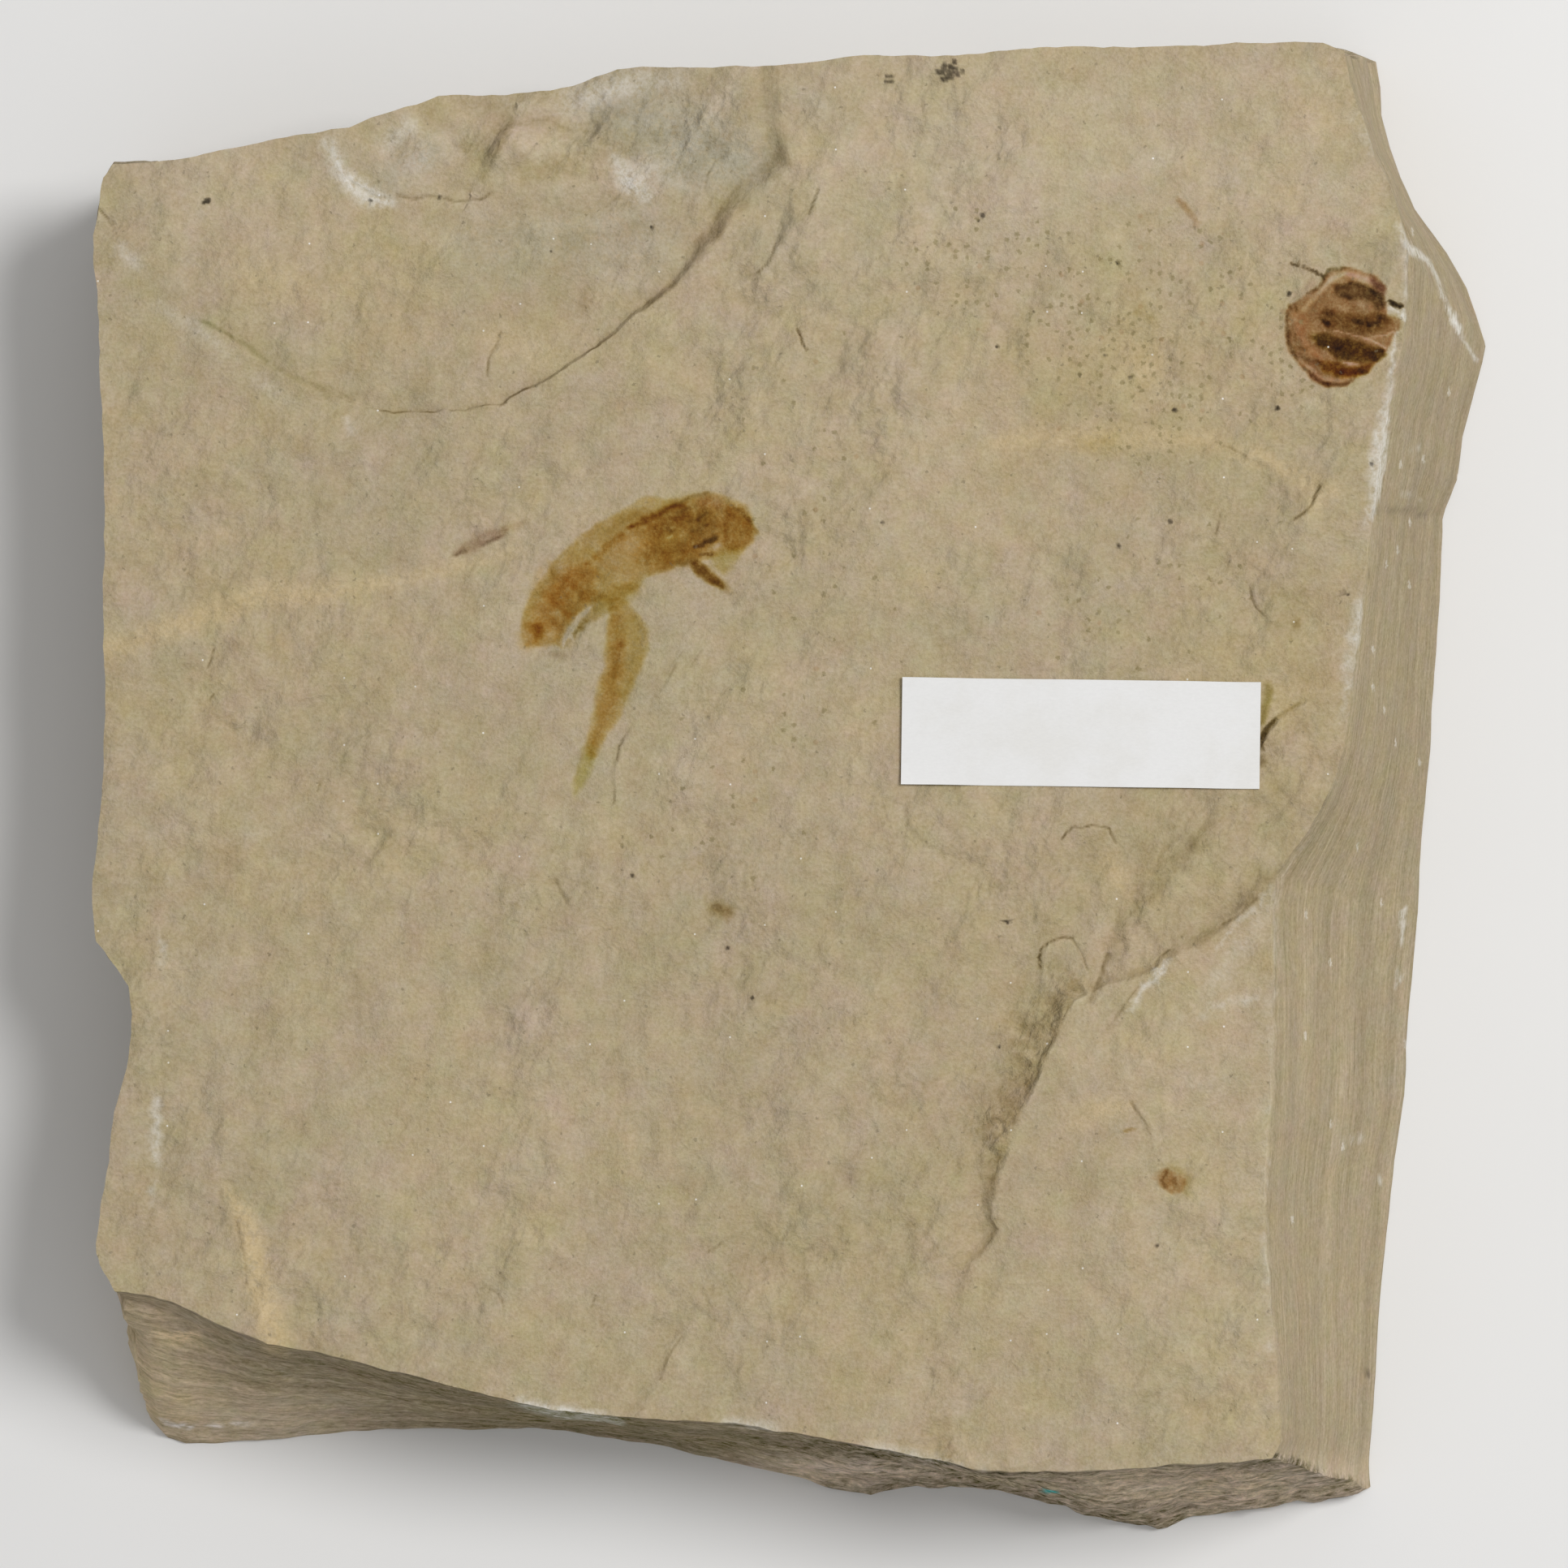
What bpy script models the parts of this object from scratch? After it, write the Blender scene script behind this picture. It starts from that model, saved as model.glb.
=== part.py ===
"""A fossil cricket on its stone: a flat slab of finely layered shale with a small paper label.

The cricket and the round fossil beside it are stains in the stone, so they are part of the slab.
Lengths are given in millimetres and turned into metres by MM. X runs across the slab, Y up the
page as a reader sees it, Z up out of the bedding plane that holds the fossil.
"""
import math
import random

import bmesh
import bpy
from mathutils import Matrix, Vector, geometry, noise

MM = 0.001

# The slab
SLAB_THICKNESS = 16.0

# Spacing of the points along its edges, along the steps of its top face and between them
EDGE_STEP = 2.6
RIM_STEP = 2.0
GRID_STEP = 2.35
GRID_JITTER = 0.35
GRID_CLEARANCE = 0.95
EDGE_CLEARANCE = 1.2
RIM_CLEARANCE = 0.9
SAME_POINT = 0.3
MERGE_BELOW = 1e-5
OVERSHOOT = 1.3
SEED = 11

# Each broken side runs clockwise from a corner, as (top x, top y, foot x, foot y) landmarks.
# Roughness is how far the layers of that side step in and out, about a mean that lies setback
# behind the straight run from top to foot.
SIDES = [
    {"name": "back", "roughness": 0.6, "setback": 0.55, "landmarks": [
        (-50.6, 46.5, -49.4, 46.1), (-47.5, 46.6, -47.1, 46.2), (-43.3, 47.3, -43.8, 46.9),
        (-38.5, 48.4, -39.2, 47.9), (-33.1, 49.2, -33.7, 48.6), (-29.8, 50.5, -30.6, 49.8),
        (-26.5, 51.5, -27.0, 50.7), (-19.9, 51.8, -20.2, 51.0), (-16.6, 52.4, -16.9, 51.6),
        (-13.3, 53.6, -13.5, 52.7), (-7.9, 53.7, -8.0, 52.9), (-1.0, 53.8, -1.0, 53.3),
        (5.0, 54.5, 5.1, 54.0), (11.6, 54.5, 11.8, 54.1), (18.5, 55.1, 18.8, 54.6),
        (26.9, 55.2, 27.4, 54.7), (34.1, 55.4, 35.1, 55.2), (38.9, 55.4, 41.4, 55.9)]},
    {"name": "back_right", "roughness": 0.24, "setback": 0.1, "landmarks": [
        (40.5, 54.9, 43.8, 55.0), (40.8, 52.6, 44.1, 53.0), (41.8, 49.9, 44.1, 51.0),
        (42.6, 47.3, 44.7, 48.5), (43.5, 45.6, 45.5, 46.3), (44.2, 43.8, 46.6, 43.9),
        (44.7, 42.1, 49.1, 40.5), (45.0, 40.8, 50.7, 37.8)]},
    {"name": "right", "roughness": 0.12, "setback": 0.0, "landmarks": [
        (45.1, 39.9, 52.1, 33.6), (45.0, 36.7, 51.9, 32.3), (44.7, 33.4, 51.2, 29.6),
        (43.8, 29.2, 50.4, 26.7), (43.0, 25.0, 50.0, 23.5), (42.5, 20.8, 49.1, 21.4),
        (42.3, 19.0, 49.1, 19.6), (41.7, 14.2, 48.9, 14.4), (41.1, 8.8, 48.5, 8.9),
        (40.4, 3.4, 48.2, 3.1), (38.9, -0.8, 47.7, -1.7), (37.1, -3.8, 47.4, -5.7),
        (35.3, -6.1, 47.3, -9.1), (35.0, -8.0, 47.1, -11.5), (35.1, -13.4, 46.7, -15.2),
        (35.1, -18.8, 46.4, -19.1), (34.8, -24.8, 46.3, -22.8), (34.5, -29.6, 45.5, -27.7),
        (34.6, -33.8, 45.0, -32.6), (35.1, -38.6, 44.4, -38.1), (35.5, -44.0, 44.1, -43.6),
        (35.7, -47.9, 43.8, -47.8)]},
    {"name": "front", "roughness": 0.34, "setback": 0.1, "landmarks": [
        (35.1, -49.2, 43.5, -52.6), (32.6, -49.4, 40.2, -53.2), (29.3, -49.6, 35.3, -54.0),
        (25.1, -49.9, 29.8, -54.6), (21.5, -50.1, 27.4, -55.5), (17.3, -50.2, 22.5, -54.7),
        (13.4, -50.0, 17.1, -53.0), (10.1, -49.3, 12.7, -52.4), (6.8, -48.6, 9.1, -52.4),
        (3.5, -48.0, 5.7, -53.1), (-1.0, -47.2, 1.1, -51.9), (-5.8, -46.5, -4.7, -50.5),
        (-10.9, -46.3, -10.2, -49.3), (-15.7, -45.9, -15.1, -48.5), (-20.5, -45.1, -20.2, -48.0),
        (-25.3, -43.9, -24.5, -48.1), (-30.1, -42.7, -29.1, -48.0), (-34.9, -41.5, -34.0, -48.3),
        (-39.1, -40.7, -38.6, -48.8), (-43.0, -39.1, -42.2, -49.1), (-46.6, -37.5, -46.0, -49.3),
        (-48.7, -37.0, -47.5, -48.8)]},
    {"name": "left", "roughness": 0.55, "setback": 0.5, "landmarks": [
        (-50.4, -36.8, -48.2, -47.7), (-51.2, -35.5, -48.7, -44.2), (-51.8, -34.1, -48.8, -39.9),
        (-51.5, -30.8, -49.6, -34.4), (-50.9, -27.2, -49.6, -28.9), (-50.4, -23.6, -49.2, -24.6),
        (-49.5, -20.3, -48.6, -21.0), (-49.1, -16.4, -48.3, -17.0), (-49.4, -14.3, -48.6, -14.4),
        (-50.6, -12.6, -49.4, -12.3), (-51.8, -11.0, -50.3, -10.0), (-52.1, -8.3, -50.8, -7.5),
        (-51.9, -5.0, -50.7, -4.5), (-51.4, -0.2, -50.4, -0.2), (-51.1, 7.0, -50.3, 7.1),
        (-51.3, 13.0, -50.5, 13.2), (-51.2, 18.4, -50.5, 18.7), (-51.2, 23.8, -50.7, 24.2),
        (-51.5, 29.8, -50.8, 30.3), (-51.7, 36.4, -50.9, 37.0), (-52.1, 41.2, -51.0, 41.3),
        (-51.6, 43.3, -50.8, 43.6), (-51.3, 45.5, -50.4, 45.3)]},
]

# Heights above the table where one layer of the broken sides gives way to the next. Each ledge
# slopes over LEDGE_FALL, and above EVEN_ABOVE the layers thin to follow a lowered top edge.
LAYER_BREAKS = [13.6, 11.0, 7.8, 5.2, 2.3]
LEDGE_FALL = 0.14
EVEN_ABOVE = 12.0

# How the sides swell and how each layer's edge wanders, per unit of roughness
SWELL_LENGTH = 14.0
SWELL_HEIGHT = 9.0
SWELL_SIZE = 0.9
WANDER_LENGTH = 4.5
WANDER_SIZE = 1.6
LAYER_SHIFT = 31.7
CORNER_BLENDS = 4

# Steps in the top face, as (x, y, drop, run): the ground to the left of the line's direction is
# the flake scar's floor, or the raised layer.
FLAKE_SCAR_RIM = [
    (-45.2, 35.0, 0.02, 1.2), (-41.8, 33.1, 0.12, 1.0), (-39.5, 31.5, 0.16, 0.9),
    (-36.1, 29.8, 0.16, 0.8), (-33.1, 28.7, 0.2, 0.6), (-29.5, 28.1, 0.28, 0.5),
    (-25.3, 28.0, 0.35, 0.45), (-21.7, 28.8, 0.42, 0.45), (-17.5, 30.9, 0.5, 0.5),
    (-13.3, 33.9, 0.55, 0.5), (-8.8, 37.5, 0.75, 0.6), (-6.1, 40.5, 0.9, 0.8),
    (-3.1, 43.8, 1.1, 0.95), (-0.5, 46.1, 1.25, 0.9), (-0.9, 49.0, 1.25, 0.8),
    (-1.4, 52.3, 1.2, 0.8), (-1.6, 56.2, 1.2, 0.8)]
RAISED_LAYER_RIM = [
    (40.7, -2.6, 0.3, 1.5), (35.6, -6.5, 0.38, 1.4), (30.5, -10.9, 0.4, 1.4),
    (26.3, -13.1, 0.4, 1.0), (21.8, -14.7, 0.6, 1.0), (20.4, -15.3, 0.85, 2.4),
    (18.5, -19.4, 0.95, 3.2), (16.1, -24.8, 0.85, 3.2), (14.8, -28.4, 0.65, 1.8),
    (14.4, -31.4, 0.5, 0.6), (14.9, -32.3, 0.42, 0.5), (13.1, -34.7, 0.32, 0.6),
    (12.2, -37.4, 0.2, 0.9), (11.8, -42.8, 0.02, 1.2)]
LOW_SHELF_RIM = [
    (35.3, 1.6, 0.15, 2.2), (29.9, -3.8, 0.25, 2.0), (26.3, -8.0, 0.28, 1.8),
    (23.6, -12.2, 0.25, 1.5), (22.0, -14.7, 0.1, 1.2)]
RAISED_LAYER_FADE = 16.0
RAISED_LAYER_KEPT = 0.35
LOW_SHELF_FADE = 6.0

# The deepest part of the flake scar, a shell-shaped hollow that opens through the back edge
HOLLOW_CENTRE = (-18.1, 57.4)
HOLLOW_REACH = (17.0, 14.5)
HOLLOW_DEPTH = 2.3

# Gentle waves of the bedding plane: (length, height) pairs. They die out towards the label.
WAVES = [(17.0, 0.22), (6.0, 0.08)]
LEVEL_MARGIN = 1.0
LEVEL_BLEND = 5.0

# The round fossil stands a little proud of the stone
ROUND_FOSSIL_CENTRE = (40.4, 34.5)
ROUND_FOSSIL_RADIUS = 4.3
ROUND_FOSSIL_RISE = 0.22
ROUND_FOSSIL_SLOPE = 1.2

# The label
LABEL_LENGTH = 26.5
LABEL_WIDTH = 7.9
LABEL_THICKNESS = 0.2
LABEL_CENTRE = (21.0, 4.4)
LABEL_TURN = -0.8
LABEL_GAP = 0.3

# Colours as linear values
STONE_COLOUR = (0.39, 0.32, 0.21, 1.0)
PAPER_COLOUR = (0.78, 0.77, 0.75, 1.0)


def clear_scene():
    """Removes what is already in the scene."""
    for thing in list(bpy.data.objects):
        bpy.data.objects.remove(thing, do_unlink=True)


def plain_material(name, colour, roughness):
    """Returns a Principled material of one colour."""
    material = bpy.data.materials.new(name)
    material.use_nodes = True
    shader = material.node_tree.nodes["Principled BSDF"]
    shader.inputs["Base Color"].default_value = colour
    shader.inputs["Roughness"].default_value = roughness
    shader.inputs["Metallic"].default_value = 0.0
    return material


def ease(value):
    """Rises smoothly from 0 to 1 as value does."""
    value = min(1.0, max(0.0, value))
    return value * value * (3.0 - 2.0 * value)


def curve_point(before, start, end, after, start_is_corner, end_is_corner, t):
    """Point at t between start and end on a smooth curve that keeps its corners sharp."""
    start_slope = end - start if start_is_corner else (end - before) * 0.5
    end_slope = end - start if end_is_corner else (after - start) * 0.5
    longest = OVERSHOOT * (end - start).length
    if start_slope.length > longest:
        start_slope *= longest / start_slope.length
    if end_slope.length > longest:
        end_slope *= longest / end_slope.length
    square, cube = t * t, t * t * t
    return (start * (2 * cube - 3 * square + 1) + start_slope * (cube - 2 * square + t)
            + end * (3 * square - 2 * cube) + end_slope * (cube - square))


def broken_outline():
    """Samples the top edge and the foot side by side, with the side that each belongs to."""
    tops, feet, corners, sides = [], [], [], []
    for side in SIDES:
        for number, (top_x, top_y, foot_x, foot_y) in enumerate(side["landmarks"]):
            tops.append(Vector((top_x, top_y)))
            feet.append(Vector((foot_x, foot_y)))
            corners.append(number == 0)
            sides.append(side)
    samples = []
    count = len(tops)
    for i in range(count):
        before, after, beyond = (i - 1) % count, (i + 1) % count, (i + 2) % count
        longest = max((tops[after] - tops[i]).length, (feet[after] - feet[i]).length)
        steps = max(1, round(longest / EDGE_STEP))
        for step in range(steps):
            t = step / steps
            ends = (corners[i], corners[after], t)
            top = curve_point(tops[before], tops[i], tops[after], tops[beyond], *ends)
            foot = curve_point(feet[before], feet[i], feet[after], feet[beyond], *ends)
            samples.append({"top": top, "foot": foot, "side": sides[i]})
    return samples


def nearest_on_rim(rim, x, y):
    """Signed distance to a rim, positive to its left, with the drop and run of that place."""
    best = None
    for start, end in zip(rim, rim[1:]):
        along_x, along_y = end[0] - start[0], end[1] - start[1]
        to_x, to_y = x - start[0], y - start[1]
        t = (to_x * along_x + to_y * along_y) / (along_x * along_x + along_y * along_y)
        t = min(1.0, max(0.0, t))
        distance = math.hypot(to_x - along_x * t, to_y - along_y * t)
        if best is None or distance < best[0]:
            side = 1.0 if along_x * to_y - along_y * to_x >= 0.0 else -1.0
            drop = start[2] + (end[2] - start[2]) * t
            run = start[3] + (end[3] - start[3]) * t
            best = (distance, side, drop, run)
    distance, side, drop, run = best
    return side * distance, drop, run


def waves_height(x, y):
    """Low waves of the bedding plane, level where the label is glued."""
    height = sum(size * noise.noise(Vector((x / length, y / length, length)))
                 for length, size in WAVES)
    off_x = max(0.0, abs(x - LABEL_CENTRE[0]) - LABEL_LENGTH / 2 - LEVEL_MARGIN)
    off_y = max(0.0, abs(y - LABEL_CENTRE[1]) - LABEL_WIDTH / 2 - LEVEL_MARGIN)
    return height * ease(math.hypot(off_x, off_y) / LEVEL_BLEND)


def flake_scar_height(x, y):
    """The shallow scar of a flake lost from the back, and its deep hollow."""
    distance, drop, run = nearest_on_rim(FLAKE_SCAR_RIM, x, y)
    if distance <= 0.0:
        return 0.0
    reach = math.hypot((x - HOLLOW_CENTRE[0]) / HOLLOW_REACH[0],
                       (y - HOLLOW_CENTRE[1]) / HOLLOW_REACH[1])
    return -drop * ease(distance / run) - HOLLOW_DEPTH * ease(1.0 - reach)


def raised_layer_height(x, y):
    """The layer that still covers the front right of the bedding plane."""
    distance, drop, run = nearest_on_rim(RAISED_LAYER_RIM, x, y)
    if distance <= 0.0:
        return drop * (1.0 - ease(-distance / run))
    kept = RAISED_LAYER_KEPT
    return drop * (kept + (1.0 - kept) * (1.0 - ease(distance / RAISED_LAYER_FADE)))


def low_shelf_height(x, y):
    """A faint shelf between the label and the raised layer."""
    distance, drop, run = nearest_on_rim(LOW_SHELF_RIM, x, y)
    fade = run if distance <= 0.0 else LOW_SHELF_FADE
    return drop * (1.0 - ease(abs(distance) / fade))


def round_fossil_height(x, y):
    """The flat-topped swell of the round fossil."""
    off = math.hypot(x - ROUND_FOSSIL_CENTRE[0], y - ROUND_FOSSIL_CENTRE[1])
    return ROUND_FOSSIL_RISE * ease((ROUND_FOSSIL_RADIUS - off) / ROUND_FOSSIL_SLOPE)


def surface_height(x, y):
    """Height of the top face above the table."""
    relief = (waves_height(x, y) + flake_scar_height(x, y) + raised_layer_height(x, y)
              + low_shelf_height(x, y) + round_fossil_height(x, y))
    return SLAB_THICKNESS + relief


def inside_by(outline, point, margin):
    """Whether a point lies inside the outline and at least margin from it."""
    inside = False
    for start, end in zip(outline, outline[1:] + outline[:1]):
        nearest, t = geometry.intersect_point_line(point, start, end)
        if t < 0.0:
            nearest = start
        elif t > 1.0:
            nearest = end
        if (nearest.xy - point).length < margin:
            return False
        if (start.y > point.y) != (end.y > point.y):
            if point.x < start.x + (point.y - start.y) * (end.x - start.x) / (end.y - start.y):
                inside = not inside
    return inside


def rim_points(rim, side):
    """The crest of a rim, and the foot of its step at the given side, in even steps."""
    crest, foot = [], []
    for start, end in zip(rim, rim[1:]):
        along = Vector((end[0] - start[0], end[1] - start[1]))
        steps = max(1, round(along.length / RIM_STEP))
        across = Vector((-along.y, along.x)).normalized() * side
        for step in range(steps):
            t = step / steps
            point = Vector((start[0], start[1])) + along * t
            run = start[3] + (end[3] - start[3]) * t
            crest.append(point)
            foot.append(point + across * run)
    return crest, foot


def add_chain(points, edges, chain, outline):
    """Adds the stretches of a chain that lie inside the outline, as edges to be kept."""
    last = None
    for point in chain:
        crowded = any((point - other).length < SAME_POINT for other in points)
        if crowded or not inside_by(outline, point, RIM_CLEARANCE):
            last = None
            continue
        points.append(point)
        if last is not None:
            edges.append((last, len(points) - 1))
        last = len(points) - 1


def top_face_plan(outline):
    """Flat triangles of the top face, whose edges follow its steps."""
    points = list(outline)
    edges = []
    for rim, side in ((FLAKE_SCAR_RIM, 1.0), (RAISED_LAYER_RIM, -1.0)):
        for chain in rim_points(rim, side):
            add_chain(points, edges, chain, outline)
    fixed = list(points)
    dice = random.Random(SEED)
    row_step = GRID_STEP * math.sqrt(3.0) / 2.0
    low = Vector([min(p[axis] for p in outline) for axis in (0, 1)])
    high = Vector([max(p[axis] for p in outline) for axis in (0, 1)])
    for row in range(int((high.y - low.y) / row_step)):
        for column in range(int((high.x - low.x) / GRID_STEP)):
            x = low.x + (column + 0.5 * (row % 2)) * GRID_STEP + dice.uniform(-1, 1) * GRID_JITTER
            y = low.y + row * row_step + dice.uniform(-1, 1) * GRID_JITTER
            point = Vector((x, y))
            near = any((point - other).length < GRID_CLEARANCE for other in fixed)
            if not near and inside_by(outline, point, EDGE_CLEARANCE):
                points.append(point)
    edges += [(i, (i + 1) % len(outline)) for i in range(len(outline))]
    plan = geometry.delaunay_2d_cdt(points, edges, [], 0, MERGE_BELOW, True)
    corners, faces, sources = plan[0], plan[2], plan[3]
    kept = [face for face in faces
            if inside_by(outline, sum((corners[i] for i in face), Vector((0, 0))) / len(face), 0)]
    return corners, kept, sources


def blended(samples, value):
    """A value of the sides at each place, blended across the corners."""
    amounts = [sample["side"][value] for sample in samples]
    for _ in range(CORNER_BLENDS):
        following = amounts[1:] + amounts[:1]
        amounts = [(amounts[i - 1] + amounts[i] + following[i]) / 3 for i in range(len(amounts))]
    return amounts


def layer_offset(place, level, layer):
    """How far a layer's edge stands out at a place, per unit of roughness."""
    swell = noise.noise(Vector((place.x / SWELL_LENGTH, place.y / SWELL_LENGTH,
                                level / SWELL_HEIGHT)))
    wander = noise.noise(Vector((place.x / WANDER_LENGTH, place.y / WANDER_LENGTH,
                                 LAYER_SHIFT * (layer + 1))))
    return SWELL_SIZE * swell + WANDER_SIZE * wander


def side_levels():
    """The heights of the rings down the sides, with the layer that each belongs to."""
    levels = [(SLAB_THICKNESS, 0)]
    for layer, height in enumerate(LAYER_BREAKS):
        levels.append((height + LEDGE_FALL / 2, layer))
        levels.append((height - LEDGE_FALL / 2, layer + 1))
    levels.append((0.0, len(LAYER_BREAKS)))
    return levels


def side_rings(samples):
    """Rings of points down the broken sides, a pair at each break between two layers."""
    count = len(samples)
    roughness = blended(samples, "roughness")
    setback = blended(samples, "setback")
    rings = []
    for level, layer in side_levels():
        ring = []
        is_rim = level in (SLAB_THICKNESS, 0.0)
        for i, sample in enumerate(samples):
            top, foot = sample["top"], sample["foot"]
            place = top.lerp(foot, 1.0 - level / SLAB_THICKNESS)
            if not is_rim:
                along = samples[(i + 1) % count]["top"] - samples[i - 1]["top"]
                outward = Vector((-along.y, along.x)).normalized()
                offset = roughness[i] * layer_offset(place, level, layer) - setback[i]
                place = place + outward * offset
            height = level
            if level > EVEN_ABOVE:
                share = (level - EVEN_ABOVE) / (SLAB_THICKNESS - EVEN_ABOVE)
                height = EVEN_ABOVE + share * (surface_height(top.x, top.y) - EVEN_ABOVE)
            ring.append(Vector((place.x, place.y, height)))
        rings.append(ring)
    return rings


def build_slab():
    """The stone: its top face, its layered sides and its flat underside, as one solid."""
    samples = broken_outline()
    rings = side_rings(samples)
    outline = [sample["top"] for sample in samples]
    flat_points, faces, origins = top_face_plan(outline)
    body = bmesh.new()
    loops = [[body.verts.new(point * MM) for point in ring] for ring in rings]
    top_verts = []
    for point, sources in zip(flat_points, origins):
        border = [source for source in sources if source < len(outline)]
        if border:
            top_verts.append(loops[0][border[0]])
        else:
            height = surface_height(point.x, point.y)
            top_verts.append(body.verts.new(Vector((point.x, point.y, height)) * MM))
    for face in faces:
        body.faces.new([top_verts[corner] for corner in face])
    count = len(outline)
    for upper, lower in zip(loops, loops[1:]):
        for i in range(count):
            after = (i + 1) % count
            body.faces.new((upper[i], upper[after], lower[after], lower[i]))
    body.faces.new(loops[-1])
    bmesh.ops.triangulate(body, faces=list(body.faces))
    bmesh.ops.recalc_face_normals(body, faces=body.faces)
    mesh = bpy.data.meshes.new("slab")
    body.to_mesh(mesh)
    body.free()
    slab = bpy.data.objects.new("slab", mesh)
    bpy.context.collection.objects.link(slab)
    slab.data.materials.append(plain_material("shale", STONE_COLOUR, 0.92))
    return slab


def build_label():
    """The strip of paper glued to the top face."""
    bottom = SLAB_THICKNESS + LABEL_GAP
    centre = Vector((LABEL_CENTRE[0], LABEL_CENTRE[1], bottom + LABEL_THICKNESS / 2))
    bpy.ops.mesh.primitive_cube_add(size=1.0, location=centre * MM)
    label = bpy.context.object
    label.name = "label"
    label.data.name = "label"
    label.scale = Vector((LABEL_LENGTH, LABEL_WIDTH, LABEL_THICKNESS)) * MM
    bpy.ops.object.transform_apply(location=False, rotation=False, scale=True)
    label.rotation_euler.z = math.radians(LABEL_TURN)
    label.data.materials.append(plain_material("paper", PAPER_COLOUR, 0.6))
    return label


def centre_on_origin(slab, label):
    """Moves both pieces so that the slab's box stands centred on the origin."""
    points = [vertex.co for vertex in slab.data.vertices]
    middle = Vector([(min(p[axis] for p in points) + max(p[axis] for p in points)) / 2
                     for axis in (0, 1)])
    slab.data.transform(Matrix.Translation((-middle.x, -middle.y, 0.0)))
    label.location -= middle.to_3d()


clear_scene()
centre_on_origin(build_slab(), build_label())
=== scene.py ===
"""A fossil cricket on a slab of shale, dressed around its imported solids.

The slab comes first, with its stains and its stone, then the paper label, and last the floor, the
light and the camera. Lengths are millimetres, turned into metres by MM.
"""
import math

import bmesh
import bpy
import numpy as np
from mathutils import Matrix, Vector, noise


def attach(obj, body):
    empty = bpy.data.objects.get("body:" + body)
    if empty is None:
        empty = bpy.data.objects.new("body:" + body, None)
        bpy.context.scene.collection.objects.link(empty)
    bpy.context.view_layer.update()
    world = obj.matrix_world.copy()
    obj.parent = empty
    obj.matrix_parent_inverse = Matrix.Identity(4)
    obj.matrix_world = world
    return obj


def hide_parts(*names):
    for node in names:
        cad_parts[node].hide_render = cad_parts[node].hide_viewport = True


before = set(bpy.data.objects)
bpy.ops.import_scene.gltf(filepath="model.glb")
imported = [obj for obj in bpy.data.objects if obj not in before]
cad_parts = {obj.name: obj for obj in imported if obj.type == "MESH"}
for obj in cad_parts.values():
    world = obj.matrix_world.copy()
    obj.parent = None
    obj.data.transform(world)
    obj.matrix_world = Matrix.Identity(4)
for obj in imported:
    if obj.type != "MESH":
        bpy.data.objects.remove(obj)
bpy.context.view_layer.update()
MM = 0.001
bpy.ops.object.select_all(action="DESELECT")


# The slab: one loose piece of thin-bedded, tan shale, split along the bedding plane that holds the
# fossils and broken off roughly along its sides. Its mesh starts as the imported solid's top face,
# is divided finely, and gets new layered sides.
SLAB_THICKNESS = 16.0
# Places are those of the solid's drawing, which was moved by this much to the centre
DRAWING_SHIFT_Y = -0.2
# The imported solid's rings of points down its sides, and the rows that take their place
SIDE_RINGS = 12
SIDE_ROWS = 42
# How the top face is divided: cuts everywhere, then edges that are longer than the share of the
# spacing wanted there
TOP_CUTS = 3
FINE_ROUNDS = 2
LONGEST_SHARE = 1.35
COARSE = 1.0
FINE = 0.3
FINEST = 0.15
MERGE_DISTANCE = 0.001
# The mesh is fine this near to a step, a flake's line, a crack and the round fossil
STEP_REACH = 0.7
FLAKE_REACH = 0.7
CRACK_REACH = 0.45
ROUND_FOSSIL_REACH = 0.9
# Edges that turn by more than this many degrees look sharp
SHARP_EDGE = 38.0

# Steps in the top face, as (x, y, drop, run): the ground to the left of the line's direction is
# the flake scar's floor, or the raised layer.
FLAKE_SCAR_RIM = [
    (-45.2, 35.0, 0.02, 1.0), (-41.8, 33.1, 0.1, 0.7), (-39.5, 31.5, 0.14, 0.6),
    (-36.1, 29.8, 0.16, 0.4), (-33.1, 28.7, 0.2, 0.3), (-29.5, 28.1, 0.26, 0.24),
    (-25.3, 28.0, 0.3, 0.22), (-21.7, 28.8, 0.34, 0.22), (-17.5, 30.9, 0.42, 0.26),
    (-13.3, 33.9, 0.5, 0.36), (-8.8, 37.5, 0.68, 0.65), (-6.1, 40.5, 0.85, 1.15),
    (-3.1, 43.8, 0.95, 1.6), (-1.4, 45.6, 0.85, 1.5), (-0.4, 46.3, 0.72, 1.3),
    (-0.9, 49.0, 0.5, 1.2), (-1.4, 52.3, 0.45, 1.2), (-1.6, 56.2, 0.45, 1.2)]
RAISED_LAYER_RIM = [
    (40.7, -2.6, 0.3, 1.5), (35.6, -6.5, 0.38, 1.4), (30.5, -10.9, 0.4, 1.2),
    (26.3, -13.1, 0.4, 0.9), (21.8, -14.7, 0.6, 1.0), (20.4, -15.3, 0.85, 3.2),
    (18.5, -19.4, 0.95, 4.2), (16.1, -24.8, 0.85, 3.8), (14.8, -28.4, 0.65, 2.0),
    (14.4, -31.4, 0.5, 0.5), (14.9, -32.3, 0.42, 0.45), (13.1, -34.7, 0.32, 0.5),
    (12.2, -37.4, 0.2, 0.9), (11.8, -42.8, 0.02, 1.2)]
LOW_SHELF_RIM = [
    (35.3, 1.6, 0.17, 2.8), (29.9, -3.8, 0.26, 2.4), (26.3, -8.0, 0.28, 1.6),
    (23.6, -12.2, 0.25, 1.2), (22.0, -14.7, 0.1, 1.0)]
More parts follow.
